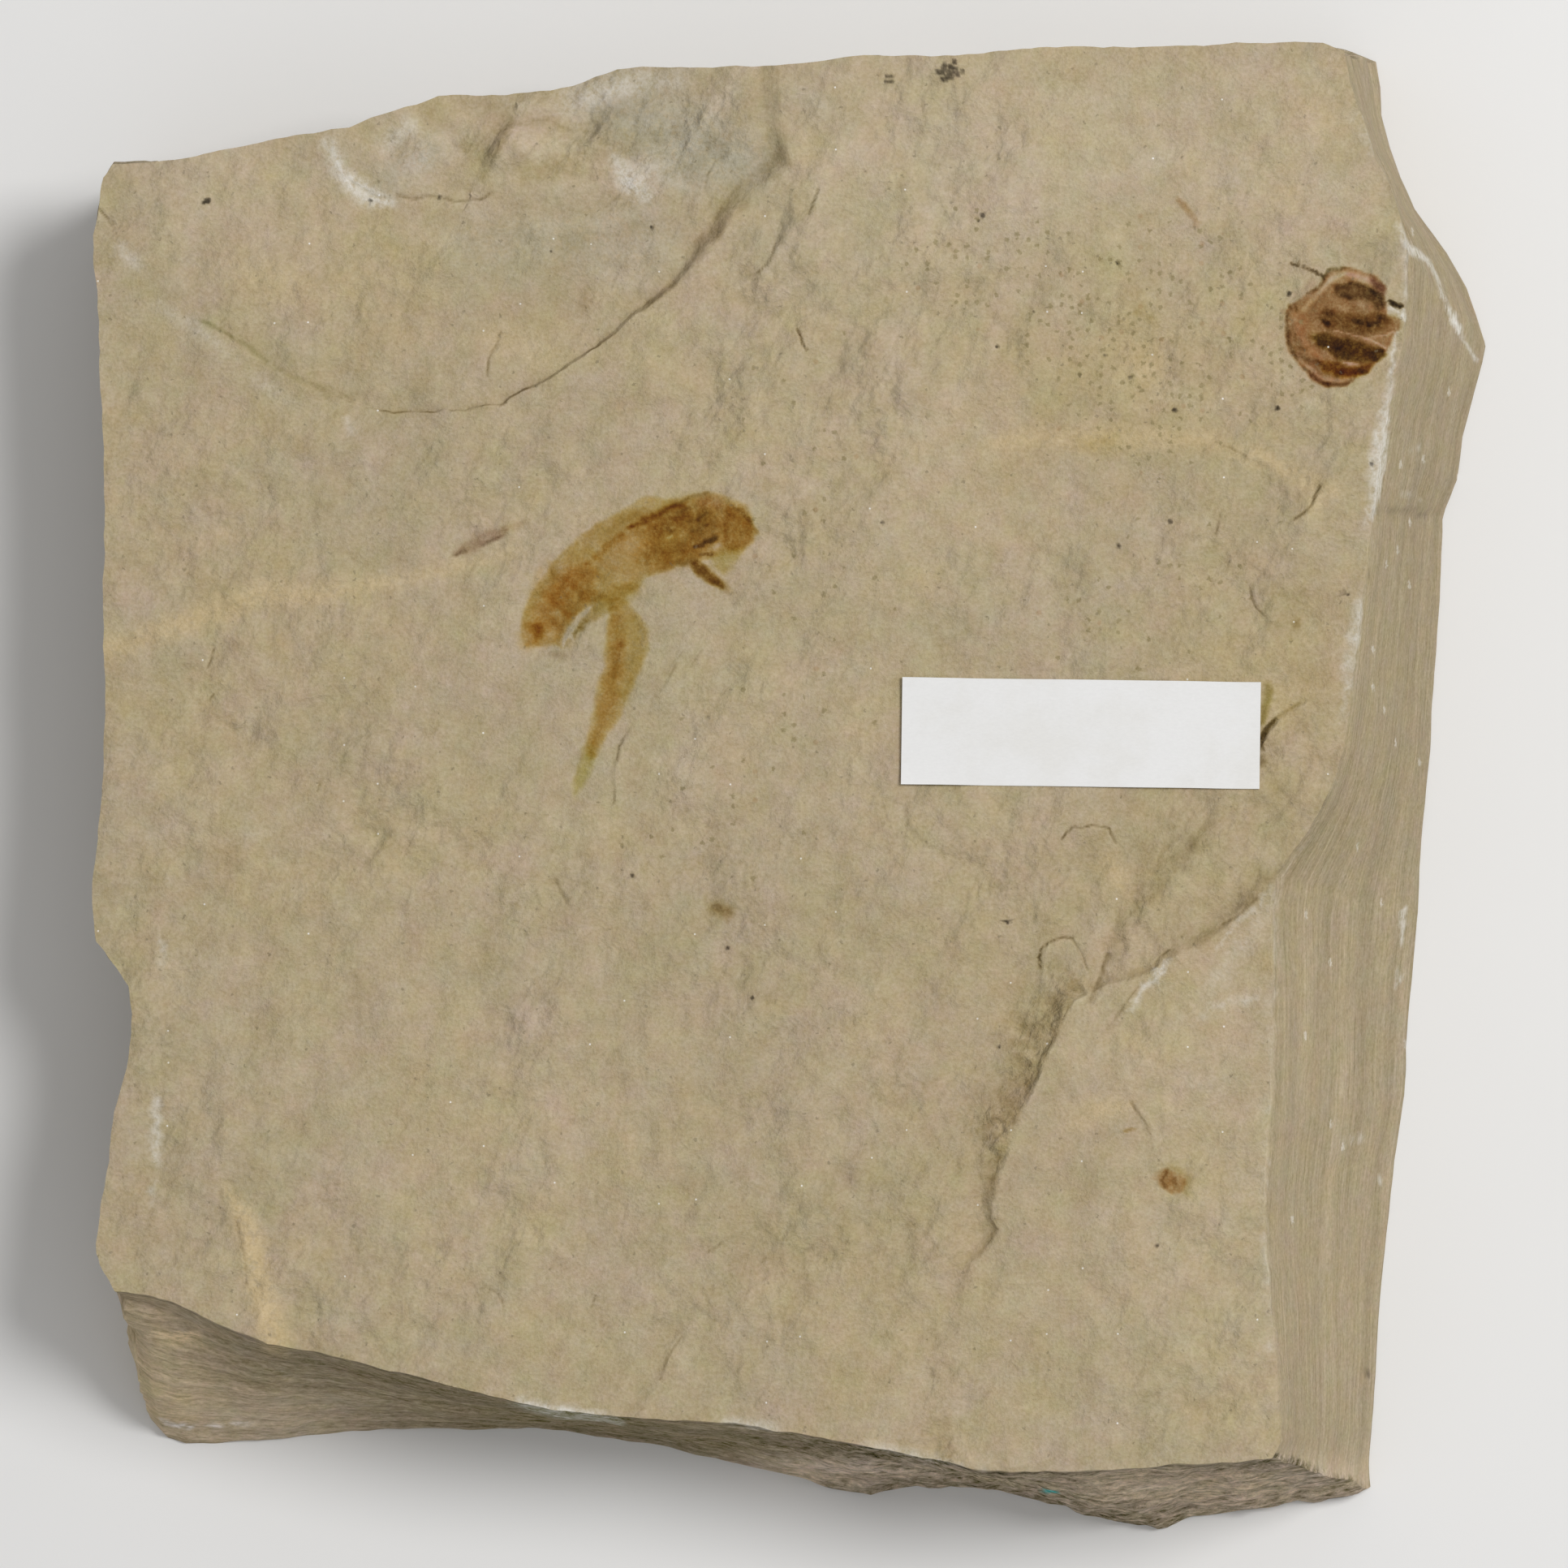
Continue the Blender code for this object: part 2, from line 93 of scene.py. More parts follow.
# How a step's drop blends over the ground beside it, how far behind their rims the layers fade
# into the ground, what is kept of the raised one, and how a step's foot curves
DROP_SOFTNESS = 0.3
DROP_FALL = 1.5
RAISED_LAYER_FADE = 25.0
RAISED_LAYER_KEPT = 0.75
LOW_SHELF_FADE = 6.0
STEP_FOOT_CURVE = 1.9
# The deep hollow at the scar's back, with ripples round it
HOLLOW_CENTRE = (-18.1, 57.4)
HOLLOW_REACH = (17.0, 14.5)
HOLLOW_DEPTH = 2.3
RIPPLE_HEIGHT = 0.08
RIPPLE_RATE = 31.0
RIPPLE_REACH = 1.35
LABEL_PLACE = (21.0, 4.4)
LABEL_LENGTH = 26.5
LABEL_WIDTH = 7.9
# The bedding plane is level this far round the label
LEVEL_MARGIN = 1.0
LEVEL_BLEND = 5.0
ROUND_FOSSIL_CENTRE = (40.4, 34.5)
ROUND_FOSSIL_RADIUS = 4.3
ROUND_FOSSIL_RISE = 0.22
ROUND_FOSSIL_SLOPE = 1.2
ROUND_FOSSIL_RIB = 0.05
ROUND_FOSSIL_RIB_RATE = 3.6
ROUND_FOSSIL_RIB_SLANT = 0.12

# A side belongs to the right or the front face where it looks that way by this much
FACING_FROM = 0.45
FACING_BLEND = 0.3
# The right face stands back a little in front of here
RIGHT_NOTCH_Y = 21.0
RIGHT_NOTCH_DEPTH = 0.25
# The front face crumbles from this x on, fully a blend further
CRUMBLY_FROM = -8.0
CRUMBLY_BLEND = 16.0
# Layers of the broken sides: (height of a layer, place in the noise, its length, and how far it
# stands out on the right face, the front face, the crumbly part of that, and the other sides)
SIDE_LAYERS = [
    (0.42, 0.0, 30.0, 0.02, 0.1, 0.0, 0.2), (1.15, 9.0, 24.0, 0.03, 0.1, 0.0, 0.3),
    (0.9, 21.0, 1.7, 0.03, 0.09, 0.16, 0.2), (3.5, 40.0, 4.0, 0.07, 0.07, 0.12, 0.25)]
# The layers are full this many rows below the top edge, which has chips of its own down to the
# next row, and the foot is chipped away from this share of the depth on
LAYERS_FROM_ROW = 2.0
EDGE_CHIP_ROWS = 6.0
FOOT_FROM = 0.95
FOOT_BLEND = 0.05
FOOT_CHIPS = 0.28
# The side rises and falls with the top face's edge in this share of its rows
EDGE_SHARE = 0.25
# Rows on each side of a ledge that it is compared with
LEDGE_ROWS = 2

# Noise of several sizes: (size, place in the noise, length across). The waves and the lumps are
# the bedding plane's, the jags those of its steps and cracks, and the fray the broken slope's.
WAVES = [(0.3, 19.0, 19.0), (0.1, 7.0, 7.0)]
JAG_X = [(0.28, 8.8, 1.9), (0.1, 1.4, 0.6)]
JAG_Y = [(0.28, 3.7, 1.9), (0.1, 6.2, 0.6)]
FRAY = [(1.6, 33.0, 2.6), (0.6, 35.0, 1.0)]
SPLIT_LUMPS = [(0.34, 2.3, 8.0), (0.17, 7.9, 4.0), (0.05, 11.7, 2.2)]
EDGE_CHIPS = [(0.1, 17.0, 1.1), (0.12, 19.0, 2.7)]
# The shares of the steps' jags that the lines of flakes and cracks have
FLAKE_JAG = 0.4
CRACK_JAG = 0.3
# How rough the split is: its least, how it changes, and what torn ground and its chunks add
SPLIT_LEAST = 0.8
SPLIT_CHANGE = 0.5
SPLIT_TORN = 2.0
TORN_CHUNKS = 0.36

# Thin flakes that still cling to the bedding plane: (fade, line), the flake to the line's left
THIN_FLAKES = [
    (4.0, [(-20.9, 50.3, 0.03, 0.3), (-21.2, 49.4, 0.4, 0.45), (-22.0, 48.1, 0.6, 0.5),
        (-22.8, 46.7, 0.45, 0.6), (-23.5, 45.3, 0.04, 0.4)]),
    (3.0, [(-15.0, 48.2, 0.02, 0.3), (-16.6, 49.3, 0.15, 0.3), (-18.3, 49.8, 0.25, 0.3),
        (-21.1, 49.2, 0.1, 0.3)]),
    (1.5, [(-2.4, 42.0, 0.06, 0.2), (-3.5, 40.1, 0.14, 0.3), (-5.4, 39.1, 0.14, 0.3),
        (-7.3, 38.2, 0.04, 0.2)]),
    (2.0, [(0.3, 42.3, 0.03, 0.2), (-1.4, 40.6, 0.15, 0.3), (-2.6, 38.1, 0.03, 0.3)]),
    (3.0, [(-1.9, 32.4, 0.02, 0.3), (-3.7, 30.3, 0.12, 0.35), (-4.0, 27.1, 0.12, 0.4),
        (-4.6, 25.7, 0.1, 0.3), (-5.5, 25.0, 0.02, 0.3)]),
    (2.6, [(20.5, -10.8, 0.02, 0.2), (19.8, -10.7, 0.09, 0.15), (18.7, -11.1, 0.12, 0.15),
        (18.0, -11.9, 0.12, 0.15), (18.0, -13.0, 0.03, 0.15)]),
    (2.2, [(23.6, -3.7, 0.02, 0.15), (23.1, -2.6, 0.07, 0.15), (21.4, -2.3, 0.08, 0.15),
        (20.2, -2.7, 0.07, 0.15), (19.6, -3.5, 0.02, 0.15)]),
    (5.0, [(-6.6, -37.9, 0.02, 0.3), (-9.0, -40.6, 0.2, 0.45), (-10.1, -43.3, 0.26, 0.5),
        (-11.2, -45.2, 0.2, 0.5)]),
    (1.8, [(38.8, 23.0, 0.02, 0.2), (38.2, 21.5, 0.14, 0.25), (37.5, 20.7, 0.14, 0.25),
        (36.7, 20.0, 0.03, 0.2)]),
    (2.0, [(33.4, 15.5, 0.02, 0.2), (33.9, 13.6, 0.12, 0.25), (34.9, 12.8, 0.03, 0.2)]),
    (1.6, [(24.6, -22.6, 0.02, 0.2), (25.3, -23.8, 0.13, 0.2), (26.1, -25.3, 0.13, 0.2),
        (26.9, -27.1, 0.03, 0.2)]),
    (3.0, [(-39.7, -29.5, 0.02, 0.3), (-41.2, -31.6, 0.12, 0.3), (-40.9, -35.0, 0.12, 0.3),
        (-40.6, -37.5, 0.03, 0.3)]),
    (1.5, [(-12.1, 5.0, 0.02, 0.2), (-12.6, 4.3, 0.13, 0.2), (-13.1, 3.5, 0.16, 0.2),
        (-13.4, 1.7, 0.15, 0.2), (-13.5, -0.6, 0.12, 0.2), (-13.7, -1.8, 0.02, 0.2)]),
    (2.0, [(-7.0, 13.5, 0.02, 0.25), (-8.2, 11.2, 0.1, 0.3), (-8.9, 9.7, 0.13, 0.3),
        (-9.9, 7.5, 0.12, 0.3), (-11.2, 5.2, 0.08, 0.3), (-12.0, 4.2, 0.02, 0.3)]),
    (1.2, [(-6.5, 11.5, 0.02, 0.2), (-7.1, 10.4, 0.12, 0.2), (-7.8, 9.3, 0.12, 0.2),
        (-8.3, 8.5, 0.02, 0.2)]),
    (1.5, [(1.9, 45.2, 0.02, 0.2), (1.1, 43.1, 0.15, 0.25), (0.4, 41.5, 0.02, 0.2)]),
    (1.5, [(-1.2, 41.2, 0.02, 0.2), (-1.8, 39.5, 0.16, 0.25), (-2.9, 38.3, 0.12, 0.25),
        (-4.2, 37.6, 0.02, 0.2)]),
    (1.5, [(29.3, 26.6, 0.02, 0.2), (31.0, 25.9, 0.1, 0.25), (33.3, 24.8, 0.1, 0.25),
        (34.6, 24.2, 0.02, 0.2)]),
    (1.5, [(31.5, 21.6, 0.02, 0.2), (31.2, 20.4, 0.12, 0.2), (31.0, 18.8, 0.02, 0.2)])]

# Cracks and scratches: (half width, depth, painted shade and dirt in them, line)
CRACKS = [
    (0.14, 0.08, 0.1, [(-33.1, 45.3), (-31.6, 44.3), (-30.2, 43.9), (-28.9, 44.1)]),
    (0.17, 0.1, 0.45, [(-29.6, 44.2), (-28.4, 43.9), (-27.4, 44.1), (-26.2, 44.0), (-25.2, 43.7),
        (-24.1, 43.9), (-23.3, 43.9), (-22.7, 44.3)]),
    (0.14, 0.07, 1.2, [(0.0, 34.3), (0.3, 33.7), (0.4, 33.2), (0.75, 32.7)]),
    (0.09, 0.03, 0.9, [(-14.9, -37.2), (-15.2, -38.2)]),
    (0.12, 0.05, 0.35, [(-6.8, 44.5), (-6.6, 45.7), (-6.0, 46.7), (-5.4, 47.1)]),
    (0.15, 0.07, 0.5, [(-21.9, 34.1), (-22.2, 33.1), (-22.8, 32.1), (-22.9, 30.8)]),
    (0.2, 0.06, 0.3, [(-17.8, -6.4), (-17.5, -7.2), (-16.9, -8.3)]),
    (0.13, 0.05, 0.6, [(-43.1, 10.6), (-43.3, 9.8), (-43.5, 9.3)]),
    (0.13, 0.05, 0.6, [(-43.1, 7.3), (-43.4, 6.8)]),
    (0.13, 0.05, 0.6, [(-35.2, 0.9), (-35.4, 0.2)]),
    (0.16, 0.06, 0.5, [(-5.6, -33.3), (-6.1, -33.7), (-6.6, -34.0)]),
    (0.12, 0.05, 0.35, [(-22.7, -36.7), (-22.1, -37.0), (-21.7, -37.8), (-21.7, -38.7)]),
    (0.13, 0.1, 1.1, [(18.0, -13.0), (17.9, -12.2), (18.1, -11.5), (18.5, -11.2)]),
    (0.12, 0.08, 0.9, [(18.4, -11.2), (19.1, -10.9), (19.8, -10.7), (20.4, -10.8)]),
    (0.1, 0.06, 0.4, [(20.4, -10.8), (21.0, -11.9), (21.5, -13.1)]),
    (0.12, 0.06, 0.9, [(19.6, -3.4), (19.9, -3.0), (20.5, -2.5), (21.0, -2.6), (21.8, -2.4),
        (22.5, -2.5), (23.1, -2.6), (23.2, -3.0), (23.6, -3.7)]),
    (0.3, 0.14, 0.4, [(23.0, -12.0), (22.6, -13.3), (22.0, -14.7), (21.7, -15.4)]),
    (0.13, 0.06, 0.55, [(27.6, -11.6), (26.9, -12.1), (26.4, -12.7)]),
    (0.4, 0.12, 0.1, [(25.5, -7.0), (25.0, -8.3), (23.8, -9.3), (23.4, -10.6), (22.9, -11.4)]),
    (0.2, 0.08, 0.35, [(22.9, -12.0), (22.6, -12.9), (22.9, -13.6)]),
    (0.4, 0.1, 0.08, [(30.2, -2.4), (29.2, -3.6), (28.4, -4.6), (27.2, -5.0)]),
    (0.25, 0.08, 0.1, [(28.2, -3.2), (27.1, -4.2), (26.4, -6.0)]),
    (0.13, 0.06, 0.22, [(25.5, -14.0), (24.4, -15.4), (23.4, -16.9)]),
    (0.16, 0.08, 0.3, [(33.9, -7.9), (32.6, -9.1), (31.2, -9.9)]),
    (0.12, 0.05, 0.12, [(24.0, -16.0), (23.5, -16.7), (22.9, -17.5)]),
    (0.13, 0.05, 0.7, [(24.7, -22.8), (25.1, -23.5), (25.7, -24.3), (26.1, -25.2)]),
    (0.15, 0.08, 1.1, [(38.7, 22.7), (38.3, 21.9), (38.1, 21.3), (37.5, 20.7), (36.8, 20.2)]),
    (0.14, 0.06, 0.8, [(33.5, 15.2), (33.7, 14.3), (34.0, 13.6), (34.8, 12.9)]),
    (0.13, 0.06, 0.8, [(31.3, 20.6), (31.2, 19.9), (31.0, 19.1)]),
    (0.25, 0.25, 0.0, [(34.0, 3.4), (34.6, 4.5), (35.3, 5.3)]),
    (0.25, 0.08, 0.0, [(35.3, 5.3), (36.2, 6.0), (37.4, 6.8)]),
    (0.12, 0.05, 0.5, [(31.0, 25.9), (32.0, 25.5), (33.2, 24.9)]),
    (0.13, 0.06, 0.7, [(1.6, 44.6), (1.1, 43.3), (0.9, 42.8)]),
    (0.13, 0.06, 0.6, [(-1.6, 40.6), (-1.9, 39.4), (-2.9, 38.4)]),
    (0.13, 0.05, 0.5, [(-12.5, 4.5), (-13.1, 3.5), (-13.3, 2.4)]),
    (0.13, 0.05, 0.4, [(-13.45, 0.4), (-13.5, -0.8)]),
    (0.13, 0.05, 0.35, [(-8.5, 10.4), (-9.1, 9.2), (-9.8, 7.8)]),
    (0.13, 0.05, 0.5, [(-7.0, 10.5), (-7.8, 9.3)]),
    (0.15, 0.06, 0.5, [(-8.5, -40.2), (-9.6, -41.8), (-10.1, -43.4)]),
    (0.1, 0.04, 0.35, [(-41.5, -31.4), (-41.1, -32.9), (-40.7, -35.0), (-40.7, -36.4)]),
    (0.14, 0.08, 0.7, [(-51.6, 43.2), (-51.1, 42.6), (-50.6, 42.0)])]

# The split's streaks: degrees from the x axis, and how long they are drawn out
STREAK_ANGLE = 58.0
STREAK_STRETCH = 1.4
CHUNK_STRETCH = 1.6
# Where the ground is torn roughly: (strength, blur, line of x, y and half width)
TORN_STROKES = [
    (0.5, 1.6, [(35.2, 0.6, 0.5), (31.6, -2.8, 0.7), (29.0, -4.8, 0.9), (26.4, -7.6, 0.9),
        (24.6, -10.2, 0.8), (23.0, -13.0, 0.5)]),
    (0.4, 1.4, [(35.0, -6.4, 0.4), (32.0, -9.0, 0.6), (28.0, -11.6, 0.4)]),
    (0.3, 3.0, [(22.0, -2.0, 0.6), (20.0, -7.0, 1.0), (17.5, -11.0, 1.2), (15.0, -20.0, 1.0)]),
    (0.4, 6.0, [(2.0, 47.0, 1.0), (0.5, 42.0, 2.0), (-2.0, 36.0, 2.0), (-4.5, 29.0, 1.5)]),
    (0.25, 8.0, [(8.0, 44.0, 1.0), (8.0, 34.0, 2.0), (6.0, 26.0, 2.0)]),
    (0.3, 7.0, [(-38.0, -9.0, 1.0), (-30.0, -1.0, 2.0), (-24.0, -4.0, 2.0)]),
    (0.4, 5.0, [(-23.0, -5.0, 1.0), (-21.0, -10.0, 2.0), (-14.0, -7.0, 1.0)]),
    (0.35, 5.0, [(-6.0, 8.0, 1.0), (-9.0, 0.0, 2.0), (-7.0, -6.0, 1.5)]),
    (0.3, 6.0, [(21.0, 22.0, 1.0), (29.0, 20.0, 2.0), (35.0, 15.0, 2.0)]),
    (0.3, 8.0, [(18.0, 40.0, 1.0), (25.0, 32.0, 3.0), (31.0, 28.0, 1.0)]),
    (0.3, 6.0, [(-8.0, -37.0, 1.0), (2.0, -34.0, 2.0), (11.0, -31.0, 2.0)]),
    (0.3, 4.0, [(-45.0, 8.0, 1.0), (-41.0, 4.0, 1.0)]),
    (0.45, 3.0, [(-30.0, 48.0, 1.0), (-19.0, 47.5, 1.5), (-13.0, 48.0, 2.5), (-5.5, 48.5, 2.0)]),
    (0.7, 4.0, [(-13.0, 44.5, 1.0), (-9.0, 48.0, 2.5), (-5.5, 50.5, 1.5)]),
    (0.3, 3.0, [(-16.0, 36.0, 1.0), (-10.0, 41.0, 1.5), (-5.0, 45.0, 1.0)]),
    (0.2, 4.0, [(11.0, -33.0, 2.0), (7.0, -40.0, 2.0)]),
    (0.2, 3.0, [(-3.0, 24.0, 1.0), (0.0, 20.0, 2.0)])]

# Where the cricket and the round fossil lie, for the finest mesh: (x, y, half width) lines
FOSSIL_GROUND = [
    [(-19.0, 12.5, 2.2), (-16.5, 15.5, 3.0), (-12.0, 18.5, 3.4), (-7.0, 19.5, 3.2),
        (-4.4, 19.4, 2.6)],
    [(-7.2, 17.0, 1.2), (-5.0, 15.0, 1.2)],
    [(-13.0, 14.5, 2.4), (-12.7, 11.0, 2.6), (-13.5, 8.0, 2.1), (-14.6, 4.5, 1.5),
        (-16.0, 0.8, 1.2)],
    [(-25.0, 17.7, 0.7), (-20.6, 19.7, 0.7)]]
# The same for small marks: (x, y, reach)
SMALL_GROUND = [
    (11.4, 53.2, 1.5), (6.6, 52.8, 0.8), (13.6, 42.5, 0.6), (23.8, 39.2, 0.4), (27.9, 28.3, 0.4),
    (27.6, 20.0, 0.4), (14.8, 32.9, 0.4), (20.9, 30.9, 0.4), (-43.7, 43.7, 0.6),
    (-31.5, 43.8, 0.4), (-26.4, 44.0, 0.4), (42.5, 24.3, 0.4), (40.8, 14.6, 0.4),
    (15.6, -9.6, 0.4), (26.7, -33.4, 0.4), (-5.1, -11.5, 0.4), (28.7, 43.2, 1.3),
    (36.4, 36.9, 0.4), (36.5, 39.1, 0.6), (23.8, 18.2, 0.4), (6.3, 20.0, 0.4), (35.5, 28.4, 0.4),
    (22.8, 32.3, 0.4), (24.6, 30.7, 0.4), (-12.1, -6.2, 0.4), (-3.3, -15.2, 0.4),
    (17.5, 35.6, 0.4), (15.0, -18.8, 0.4), (-18.2, 40.1, 0.4), (-10.7, 41.8, 0.4),
    (27.8, -28.8, 1.2), (24.5, -25.0, 0.6), (35.0, 5.3, 2.0), (-5.5, -8.7, 1.0)]


def ease(value):
    """Rises smoothly from 0 to 1 as value does."""
    value = np.clip(value, 0.0, 1.0)
    return value * value * (3.0 - 2.0 * value)


def beside(line, x, y):
    """Signed distance to a line, positive to its left, and the line's other values there."""
    line = np.array(line, float)
    nearest = np.full(x.shape, np.inf)
    side = np.ones(x.shape)
    values = np.zeros((line.shape[1] - 2,) + x.shape)
    for start, end in zip(line, line[1:]):
        along = end[:2] - start[:2]
        to_x, to_y = x - start[0], y - start[1]
        t = np.clip((to_x * along[0] + to_y * along[1]) / (along @ along), 0.0, 1.0)
        distance = np.hypot(to_x - along[0] * t, to_y - along[1] * t)
        nearer = distance < nearest
        nearest[nearer] = distance[nearer]
        left = along[0] * to_y - along[1] * to_x >= 0.0
        side[nearer] = np.where(left, 1.0, -1.0)[nearer]
        for value, from_value, to_value in zip(values, start[2:], end[2:]):
            value[nearer] = (from_value + (to_value - from_value) * t)[nearer]
    return nearest * side, values


def blended_drop(line, x, y):
    """The drop of a step's line, blended smoothly over the ground on both its sides."""
    line = np.array(line, float)
    total, weights = np.zeros((2,) + x.shape)
    for start, end in zip(line, line[1:]):
        pieces = max(1, round(math.hypot(*(end[:2] - start[:2]))))
        for piece in range(pieces):
            at = start + (end - start) * ((piece + 0.5) / pieces)
            square = (x - at[0]) ** 2 + (y - at[1]) ** 2
            weight = 1.0 / (square + DROP_SOFTNESS) ** DROP_FALL
            total += weight * at[2]
            weights += weight
    return total / weights


def noise_at(x, y, z, length):
    """Noise between about -1 and 1 whose lumps are about length across."""
    places = zip(x / length, y / length, np.broadcast_to(z, x.shape))
    return np.array([noise.noise(Vector(place)) for place in places])


def layered_noise(x, y, layers):
    """Noise of several sizes added up."""
    return sum(size * noise_at(x, y, z, length) for size, z, length in layers)


def jags(x, y):
    """How far to move each place so that the steps and cracks there look torn."""
    return layered_noise(x, y, JAG_X), layered_noise(x, y, JAG_Y)


def box_of(points, margin, x, y):
    """Which places lie within the margin of the points' box."""
    low_x, low_y = (min(point[axis] for point in points) - margin for axis in (0, 1))
    high_x, high_y = (max(point[axis] for point in points) + margin for axis in (0, 1))
    return (x > low_x) & (x < high_x) & (y > low_y) & (y < high_y)


def covered(inside, blur):
    """How much a mark covers places that lie so far inside its edge."""
    return ease(0.5 + inside / blur)


def stroke(line, blur, x, y):
    """How much a tapering line covers each place."""
    cover = np.zeros(x.shape)
    near = box_of(line, blur + max(point[2] for point in line), x, y)
    distance, (half_width,) = beside(line, x[near], y[near])
    cover[near] = covered(half_width - np.abs(distance), blur)
    return cover


def waves_height(x, y):
    """Low waves of the bedding plane, level where the label is glued."""
    off_x = np.maximum(0.0, np.abs(x - LABEL_PLACE[0]) - LABEL_LENGTH / 2 - LEVEL_MARGIN)
    off_y = np.maximum(0.0, np.abs(y - LABEL_PLACE[1]) - LABEL_WIDTH / 2 - LEVEL_MARGIN)
    return layered_noise(x, y, WAVES) * ease(np.hypot(off_x, off_y) / LEVEL_BLEND)


def flake_scar_height(x, y):
    """The shallow scar of a flake lost from the back, and its deep hollow."""
    distance, (_, run) = beside(FLAKE_SCAR_RIM, x, y)
    reach = np.hypot((x - HOLLOW_CENTRE[0]) / HOLLOW_REACH[0],
                     (y - HOLLOW_CENTRE[1]) / HOLLOW_REACH[1])
    floor = -blended_drop(FLAKE_SCAR_RIM, x, y) * ease(distance / run)
    floor -= HOLLOW_DEPTH * ease(1.0 - reach)
    ripple = RIPPLE_HEIGHT * np.sin(reach * RIPPLE_RATE + 2.5 * noise_at(x, y, 4.1, 5.0))
    floor += ripple * ease((RIPPLE_REACH - reach) * 3.0) * ease(distance / 2.0)
    return np.where(distance > 0.0, floor, 0.0)


def layer_height(line, fade, kept, x, y):
    """A layer to the line's left that stands above the ground and fades into it."""
    distance, (_, run) = beside(line, x, y)
    below = np.clip(1.0 + distance / run, 0.0, 1.0) ** STEP_FOOT_CURVE
    above = kept + (1.0 - kept) * (1.0 - ease(distance / fade))
    return blended_drop(line, x, y) * np.where(distance > 0.0, above, below)


def low_shelf_height(x, y):
    """A faint shelf between the label and the raised layer."""
    distance, (drop, run) = beside(LOW_SHELF_RIM, x, y)
    fade = np.where(distance > 0.0, LOW_SHELF_FADE, run)
    return drop * (1.0 - ease(np.abs(distance) / fade))


def off_round_fossil(x, y):
    """How far each place is from the round fossil's centre."""
    return np.hypot(x - ROUND_FOSSIL_CENTRE[0], y - ROUND_FOSSIL_CENTRE[1])


def round_fossil_height(x, y):
    """The flat-topped swell of the round fossil, with low ribs across it."""
    swell = ease((ROUND_FOSSIL_RADIUS - off_round_fossil(x, y)) / ROUND_FOSSIL_SLOPE)
    across = y + ROUND_FOSSIL_RIB_SLANT * (x - ROUND_FOSSIL_CENTRE[0])
    ribs = ROUND_FOSSIL_RIB * np.sin(across * ROUND_FOSSIL_RIB_RATE)
    return swell * (ROUND_FOSSIL_RISE + ribs)


def broken_slope(x, y):
    """How much a place belongs to the rough slope below the raised layer."""
    distance, (_, run) = beside(RAISED_LAYER_RIM, x, y)
    rough = ease(run - 1.3) * ease((-distance + 0.15) / 0.3)
    return rough * ease((run + 0.5 + layered_noise(x, y, FRAY) + distance) / 3.0)


def crack_depth(x, y):
    """The grooves of the cracks and scratches."""
    depth = np.zeros(x.shape)
    for half_width, deep, _, line in CRACKS:
        distance, _ = beside(line, x, y)
        depth = np.maximum(depth, deep * ease(1.4 - np.abs(distance) / half_width))
    return depth


def torn_ground(x, y):
    """How roughly the bedding plane is torn at each place."""
    torn = broken_slope(x, y)
    for strength, blur, line in TORN_STROKES:
        torn = np.maximum(torn, strength * stroke(line, blur, x, y))
    return torn


def grain_height(x, y):
    """The fine relief of the split: lumps drawn out along its streaks, and torn ground."""
    way = math.radians(STREAK_ANGLE)
    along, across = x * math.cos(way) + y * math.sin(way), y * math.cos(way) - x * math.sin(way)
    torn = torn_ground(x, y)
    strength = SPLIT_LEAST + SPLIT_CHANGE * noise_at(x, y, 1.2, 12.0)
    strength += SPLIT_TORN * np.minimum(torn, 0.5)
    lumps = layered_noise(along / STREAK_STRETCH, across, SPLIT_LUMPS)
    chunks = noise_at(along / CHUNK_STRETCH, across, 3.3, 1.5)
    return lumps * strength + torn * TORN_CHUNKS * chunks


def bedding_height(x, y):
    """Height of the top face above the table."""
    jag_x, jag_y = jags(x, y)
    torn_x, torn_y = x + jag_x, y + jag_y
    height = SLAB_THICKNESS + waves_height(x, y) + grain_height(x, y)
    height += flake_scar_height(torn_x, torn_y) + low_shelf_height(torn_x, torn_y)
    height += layer_height(RAISED_LAYER_RIM, RAISED_LAYER_FADE, RAISED_LAYER_KEPT, torn_x, torn_y)
    for fade, line in THIN_FLAKES:
        height += layer_height(line, fade, 0.0, x + FLAKE_JAG * jag_x, y + FLAKE_JAG * jag_y)
    height += round_fossil_height(x, y)
    return height - crack_depth(x + CRACK_JAG * jag_x, y + CRACK_JAG * jag_y)


def wanted_spacing(x, y):
    """How close the mesh's points have to be at a place."""
    spacing = np.full(x.shape, COARSE)
    for line in (RAISED_LAYER_RIM, FLAKE_SCAR_RIM):
        distance, (_, run) = beside(line, x, y)
        spacing[np.abs(distance) < run * 0.9 + STEP_REACH] = FINE
    # The scar's rim came last, and is finest where it is steep
    spacing[(distance > -0.35) & (distance < run + 0.1) & (run < 0.62)] = FINEST
    for _, line in THIN_FLAKES:
        distance, _ = beside(line, x, y)
        spacing[np.abs(distance) < FLAKE_REACH] = FINE
    for _, _, _, line in CRACKS:
        distance, _ = beside(line, x, y)
        spacing[np.abs(distance) < CRACK_REACH] = FINEST
    for line in FOSSIL_GROUND:
        distance, (reach,) = beside(line, x, y)
        spacing[np.abs(distance) < reach] = FINEST
    off = off_round_fossil(x, y)
    spacing[off < ROUND_FOSSIL_RADIUS + ROUND_FOSSIL_REACH] = FINEST
    for spot_x, spot_y, reach in SMALL_GROUND:
        spacing[np.hypot(x - spot_x, y - spot_y) < reach] = FINEST
    return spacing


